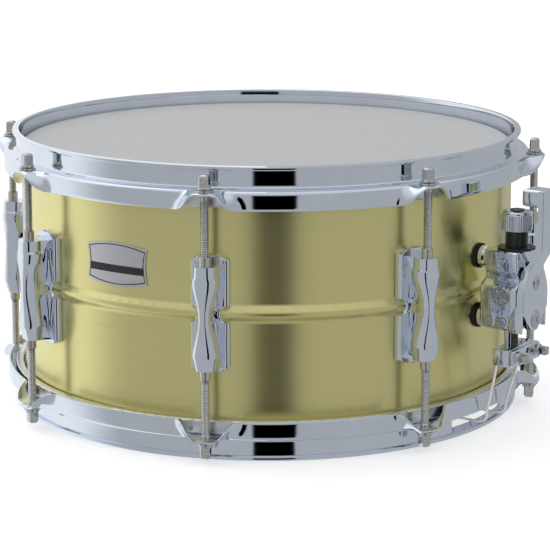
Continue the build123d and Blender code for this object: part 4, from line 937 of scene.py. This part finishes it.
def badge_band():
    """A plain dark band across the badge."""
    points = []
    for lift in (0.0, INK_THICKNESS):
        for z in (BAND_LOW, BAND_HIGH):
            reach = BAND_REACH - BADGE_WAIST * (1 - (z / BADGE_CORNER) ** 2)
            points += [badge_point(reach * (2 * k / BAND_STEPS - 1), z, lift)
                       for k in range(BAND_STEPS + 1)]
    row = BAND_STEPS + 1
    low, high, low_front, high_front = (row * i for i in range(4))
    faces = []
    for k in range(BAND_STEPS):
        for a, b in ((low_front, high_front), (low, high), (low, low_front), (high, high_front)):
            faces.append((a + k, a + k + 1, b + k + 1, b + k))
    for k in (0, BAND_STEPS):
        faces.append((low + k, high + k, high_front + k, low_front + k))
    return points, faces


ink = mesh_object("badge_print", *merged(badge_border(), badge_band()), "black_plastic", sharp=40)
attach(ink, "shell_and_hoops")

# ---------------------------------------- snare wires and cords
SPLINE_STEPS = 16


def spline_points(route):
    """Points along the smooth NURBS line of a route, in millimetres."""
    curve = bpy.data.curves.new("route", "CURVE")
    curve.dimensions = "3D"
    curve.resolution_u = SPLINE_STEPS
    line = curve.splines.new("NURBS")
    line.points.add(len(route) - 1)
    for point, place in zip(line.points, route):
        point.co = (*place, 1.0)
    line.order_u = 3
    line.use_endpoint_u = True
    holder = bpy.data.objects.new("route", curve)
    mesh = bpy.data.meshes.new_from_object(holder)
    found = [v.co.copy() for v in mesh.vertices]
    bpy.data.objects.remove(holder)
    bpy.data.curves.remove(curve)
    bpy.data.meshes.remove(mesh)
    return found


def tube(line, section, around):
    """A tube along a line of points; section(a, travelled) is its radius."""
    points, travelled = [], 0.0
    side = Vector((0, 1, 0))
    for i, place in enumerate(line):
        ahead = (line[min(i + 1, len(line) - 1)] - line[max(i - 1, 0)]).normalized()
        side = (side - ahead * side.dot(ahead)).normalized()
        up = ahead.cross(side)
        if i:
            travelled += (place - line[i - 1]).length
        for k in range(around):
            a = 2 * pi * k / around
            points.append(tuple(place + (side * cos(a) + up * sin(a)) * section(a, travelled)))
    return points, capped_faces(len(line), around)


CORD_CORE = 0.76
CORD_STRAND = 0.09  # how far its strands stand out
CORD_STRANDS = 3
CORD_LAY = 4.2  # length of one turn of a strand
CORD_POINTS = 12
CORD_STEP = 0.35


def laid(a, travelled):
    """A laid cord's radius."""
    return CORD_CORE + CORD_STRAND * abs(cos(CORD_STRANDS / 2 * (a - 2 * pi * travelled / CORD_LAY)))


def resampled(line, step):
    """The same line with points a fixed step apart."""
    result, left = [line[0]], step
    for a, b in zip(line, line[1:]):
        length = (b - a).length
        while length > left:
            a = a + (b - a).normalized() * left
            length = (b - a).length
            result.append(a)
            left = step
        left -= length
    if (result[-1] - line[-1]).length > 1e-3:
        result.append(line[-1])
    return result


SPREAD_TOP, SPREAD_BOTTOM = 15.8, 12.5  # half the distance between a clamp's two cords
PASS_X = 179.55  # where they hang clear of the hoop's apron
PASS_Z = 16.0
CORD_Z = 7.4  # where they run in under the head
GATE_X, CORD_END_X = 158.0, 147.0
KNEE_Z = 27.0  # where each cord is split into an upper and a lower piece
CORDS = [  # name, node, direction from the axis, x and z at the clamp, z of the clamp's underside
    ("strainer_cord", "strainer_cords", 1, 188.1, 53.6, 47.6),
    ("butt_cord", "butt_cords", -1, 173.9, 50.0, 39.0),
]
for name, node, away, top_x, top_z, exit_z in CORDS:
    for label, side in (("a", -1), ("b", 1)):
        route = [(away * top_x, side * SPREAD_TOP, top_z),
                 (away * top_x, side * SPREAD_TOP, exit_z - 2),
                 (away * PASS_X, side * SPREAD_BOTTOM, PASS_Z),
                 (away * PASS_X, side * SPREAD_BOTTOM, CORD_Z),
                 (away * GATE_X, side * SPREAD_BOTTOM, CORD_Z),
                 (away * CORD_END_X, side * SPREAD_BOTTOM, CORD_Z)]
        line = resampled([Vector(p) for p in spline_points(route)], CORD_STEP)
        split = next(i for i, p in enumerate(line) if p.z < KNEE_Z)
        upper = mesh_object(f"{name}_{label}_upper", *tube(line[:split + 1], laid, CORD_POINTS),
                            "white_cord", sharp=60)
        lower = mesh_object(f"{name}_{label}_lower", *tube(line[split:], laid, CORD_POINTS),
                            "white_cord", sharp=60)
        if name == "strainer_cord":
            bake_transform(upper)
        else:
            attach(upper, "shell_and_hoops")
        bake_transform(lower)
        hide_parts(node)
        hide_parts(node)

WIRE_COUNT = 20
WIRE_PITCH = 2.1
WIRE_Z = 8.1
WIRE_RADIUS = 0.17
COIL_TURNS = 162
COIL_STEPS = 8  # in each turn
COIL_PITCH = 1.8
COIL_RADIUS = 0.57


def coil():
    """One coiled snare wire along X."""
    line = []
    for k in range(COIL_TURNS * COIL_STEPS + 1):
        a = 2 * pi * k / COIL_STEPS
        x = -COIL_TURNS * COIL_PITCH / 2 + COIL_PITCH * k / COIL_STEPS
        line.append(Vector((x, COIL_RADIUS * cos(a), WIRE_Z + COIL_RADIUS * sin(a))))
    return tube(line, lambda a, travelled: WIRE_RADIUS, 4)


wire = mesh_object("snare_coil_1", *coil(), "snare_steel", sharp=60)
for number in range(WIRE_COUNT):
    piece = twin(wire, f"snare_coil_{number + 1}") if number else wire
    piece.matrix_world = Matrix.Translation(
        (0, (number - (WIRE_COUNT - 1) / 2) * WIRE_PITCH * MM, 0))
    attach(piece, "snares")
    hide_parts("snare_wires")

# ---------------------------------------- studio
CAMERA_PLACE = Vector((0.8398, -1.2247, 0.4134))
CAMERA_PITCH = radians(11.52)
CAMERA_AZIMUTH = atan2(CAMERA_PLACE.y, CAMERA_PLACE.x)
CAMERA_LENS = 145.5
CAMERA_SENSOR = 36.0
CAMERA_SHIFT = (0.0153, -0.0818)
CAMERA_REACH = 50.0
GAP_FROM, GAP_TO = radians(-6.0), radians(12.7)  # from the camera's own azimuth
GAP_EDGE = radians(0.8)
GAP_UPPER = (0.10, 0.30)  # sky directions' heights over which the gap fades
GAP_LOWER = (-0.62, -0.50)
FRONT_LEVEL = 0.46
SIDE_FROM, SIDE_TO = radians(-100), radians(-68)
SIDE_LEVEL = 0.5
ABOVE = (0.35, 0.95)
ABOVE_LEVEL = 0.30
SKY_TINT = (0.98, 1.0, 1.02, 1)
FLOOR_REACH = 12.0
FLOOR_GLOW = 0.5


def environment():
    """A white studio with a dark gap beside the camera."""
    world = bpy.data.worlds.new("studio")
    bpy.context.scene.world = world
    world.use_nodes = True
    tree = world.node_tree
    tree.nodes.clear()
    out = tree.nodes.new("ShaderNodeOutputWorld")
    background = tree.nodes.new("ShaderNodeBackground")
    tree.links.new(background.outputs["Background"], out.inputs["Surface"])
    coords = tree.nodes.new("ShaderNodeTexCoord")
    split = tree.nodes.new("ShaderNodeSeparateXYZ")
    tree.links.new(coords.outputs["Generated"], split.inputs["Vector"])

    def math(operation, a, b=None):
        node = tree.nodes.new("ShaderNodeMath")
        node.operation = operation
        for socket, value in ((0, a), (1, b)):
            if value is None:
                continue
            if isinstance(value, (int, float)):
                node.inputs[socket].default_value = value
            else:
                tree.links.new(value, node.inputs[socket])
        return node.outputs[0]

    def blend_in(source, low, high, to_low, to_high):
        node = tree.nodes.new("ShaderNodeMapRange")
        node.interpolation_type = "SMOOTHSTEP"
        node.inputs["From Min"].default_value = low
        node.inputs["From Max"].default_value = high
        node.inputs["To Min"].default_value = to_low
        node.inputs["To Max"].default_value = to_high
        tree.links.new(source, node.inputs["Value"])
        return node.outputs["Result"]

    # the gap, by azimuth from the camera's own
    ca, sa = cos(CAMERA_AZIMUTH), sin(CAMERA_AZIMUTH)
    ahead = math("ADD", math("MULTIPLY", split.outputs["X"], ca),
                 math("MULTIPLY", split.outputs["Y"], sa))
    across = math("SUBTRACT", math("MULTIPLY", split.outputs["Y"], ca),
                  math("MULTIPLY", split.outputs["X"], sa))
    angle = math("ARCTAN2", across, ahead)
    left = blend_in(angle, GAP_FROM - GAP_EDGE, GAP_FROM + GAP_EDGE, 0.0, 1.0)
    right = blend_in(angle, GAP_TO - GAP_EDGE, GAP_TO + GAP_EDGE, 1.0, 0.0)
    low = blend_in(split.outputs["Z"], *GAP_UPPER, 1.0, 0.0)
    near = blend_in(split.outputs["Z"], *GAP_LOWER, 0.0, 1.0)
    gap = math("MULTIPLY", math("MULTIPLY", left, right), math("MULTIPLY", low, near))
    # panels: bright at the left and above, greyer straight ahead
    side = blend_in(angle, SIDE_FROM, SIDE_TO, 1.0, 0.0)
    level = math("ADD", math("MULTIPLY", side, SIDE_LEVEL), FRONT_LEVEL)
    above = blend_in(split.outputs["Z"], *ABOVE, 0.0, ABOVE_LEVEL)
    level = math("ADD", level, above)
    strength = math("MULTIPLY", level, math("SUBTRACT", 1.0, gap))
    paths = tree.nodes.new("ShaderNodeLightPath")
    seen = paths.outputs["Is Camera Ray"]
    strength = math("ADD", math("MULTIPLY", strength, math("SUBTRACT", 1.0, seen)), seen)
    tree.links.new(strength, background.inputs["Strength"])
    background.inputs["Color"].default_value = SKY_TINT


def camera():
    """The camera, level sideways and looking a little down."""
    data = bpy.data.cameras.new("camera")
    data.lens = CAMERA_LENS
    data.sensor_width = CAMERA_SENSOR
    data.shift_x, data.shift_y = CAMERA_SHIFT
    data.clip_end = CAMERA_REACH
    cam = bpy.data.objects.new("camera", data)
    bpy.context.scene.collection.objects.link(cam)
    ahead = Vector((-CAMERA_PLACE.x, -CAMERA_PLACE.y, 0)).normalized()
    look = ahead * cos(CAMERA_PITCH) - Vector((0, 0, 1)) * sin(CAMERA_PITCH)
    cam.location = CAMERA_PLACE
    cam.rotation_euler = look.to_track_quat("-Z", "Y").to_euler()
    bpy.context.scene.camera = cam


def floor():
    """A plain pale floor at z = 0, unseen in the object's reflections."""
    mesh = bpy.data.meshes.new("floor")
    corners = rectangle(-FLOOR_REACH, FLOOR_REACH, -FLOOR_REACH, FLOOR_REACH)
    mesh.from_pydata([(x, y, 0) for x, y in corners], [], [(0, 1, 2, 3)])
    obj = bpy.data.objects.new("floor", mesh)
    bpy.context.scene.collection.objects.link(obj)
    pale = surface("floor_white", (0.90, 0.90, 0.90), (0.92, 0.92, 0.92), 0.0, (0.8, 0.9),
                   scale=(3, 3, 3), emission_color=(1, 1, 1, 1), emission_strength=FLOOR_GLOW)
    mesh.materials.append(pale)
    obj.visible_glossy = False


environment()
camera()
floor()
bpy.context.scene.view_settings.view_transform = "Standard"
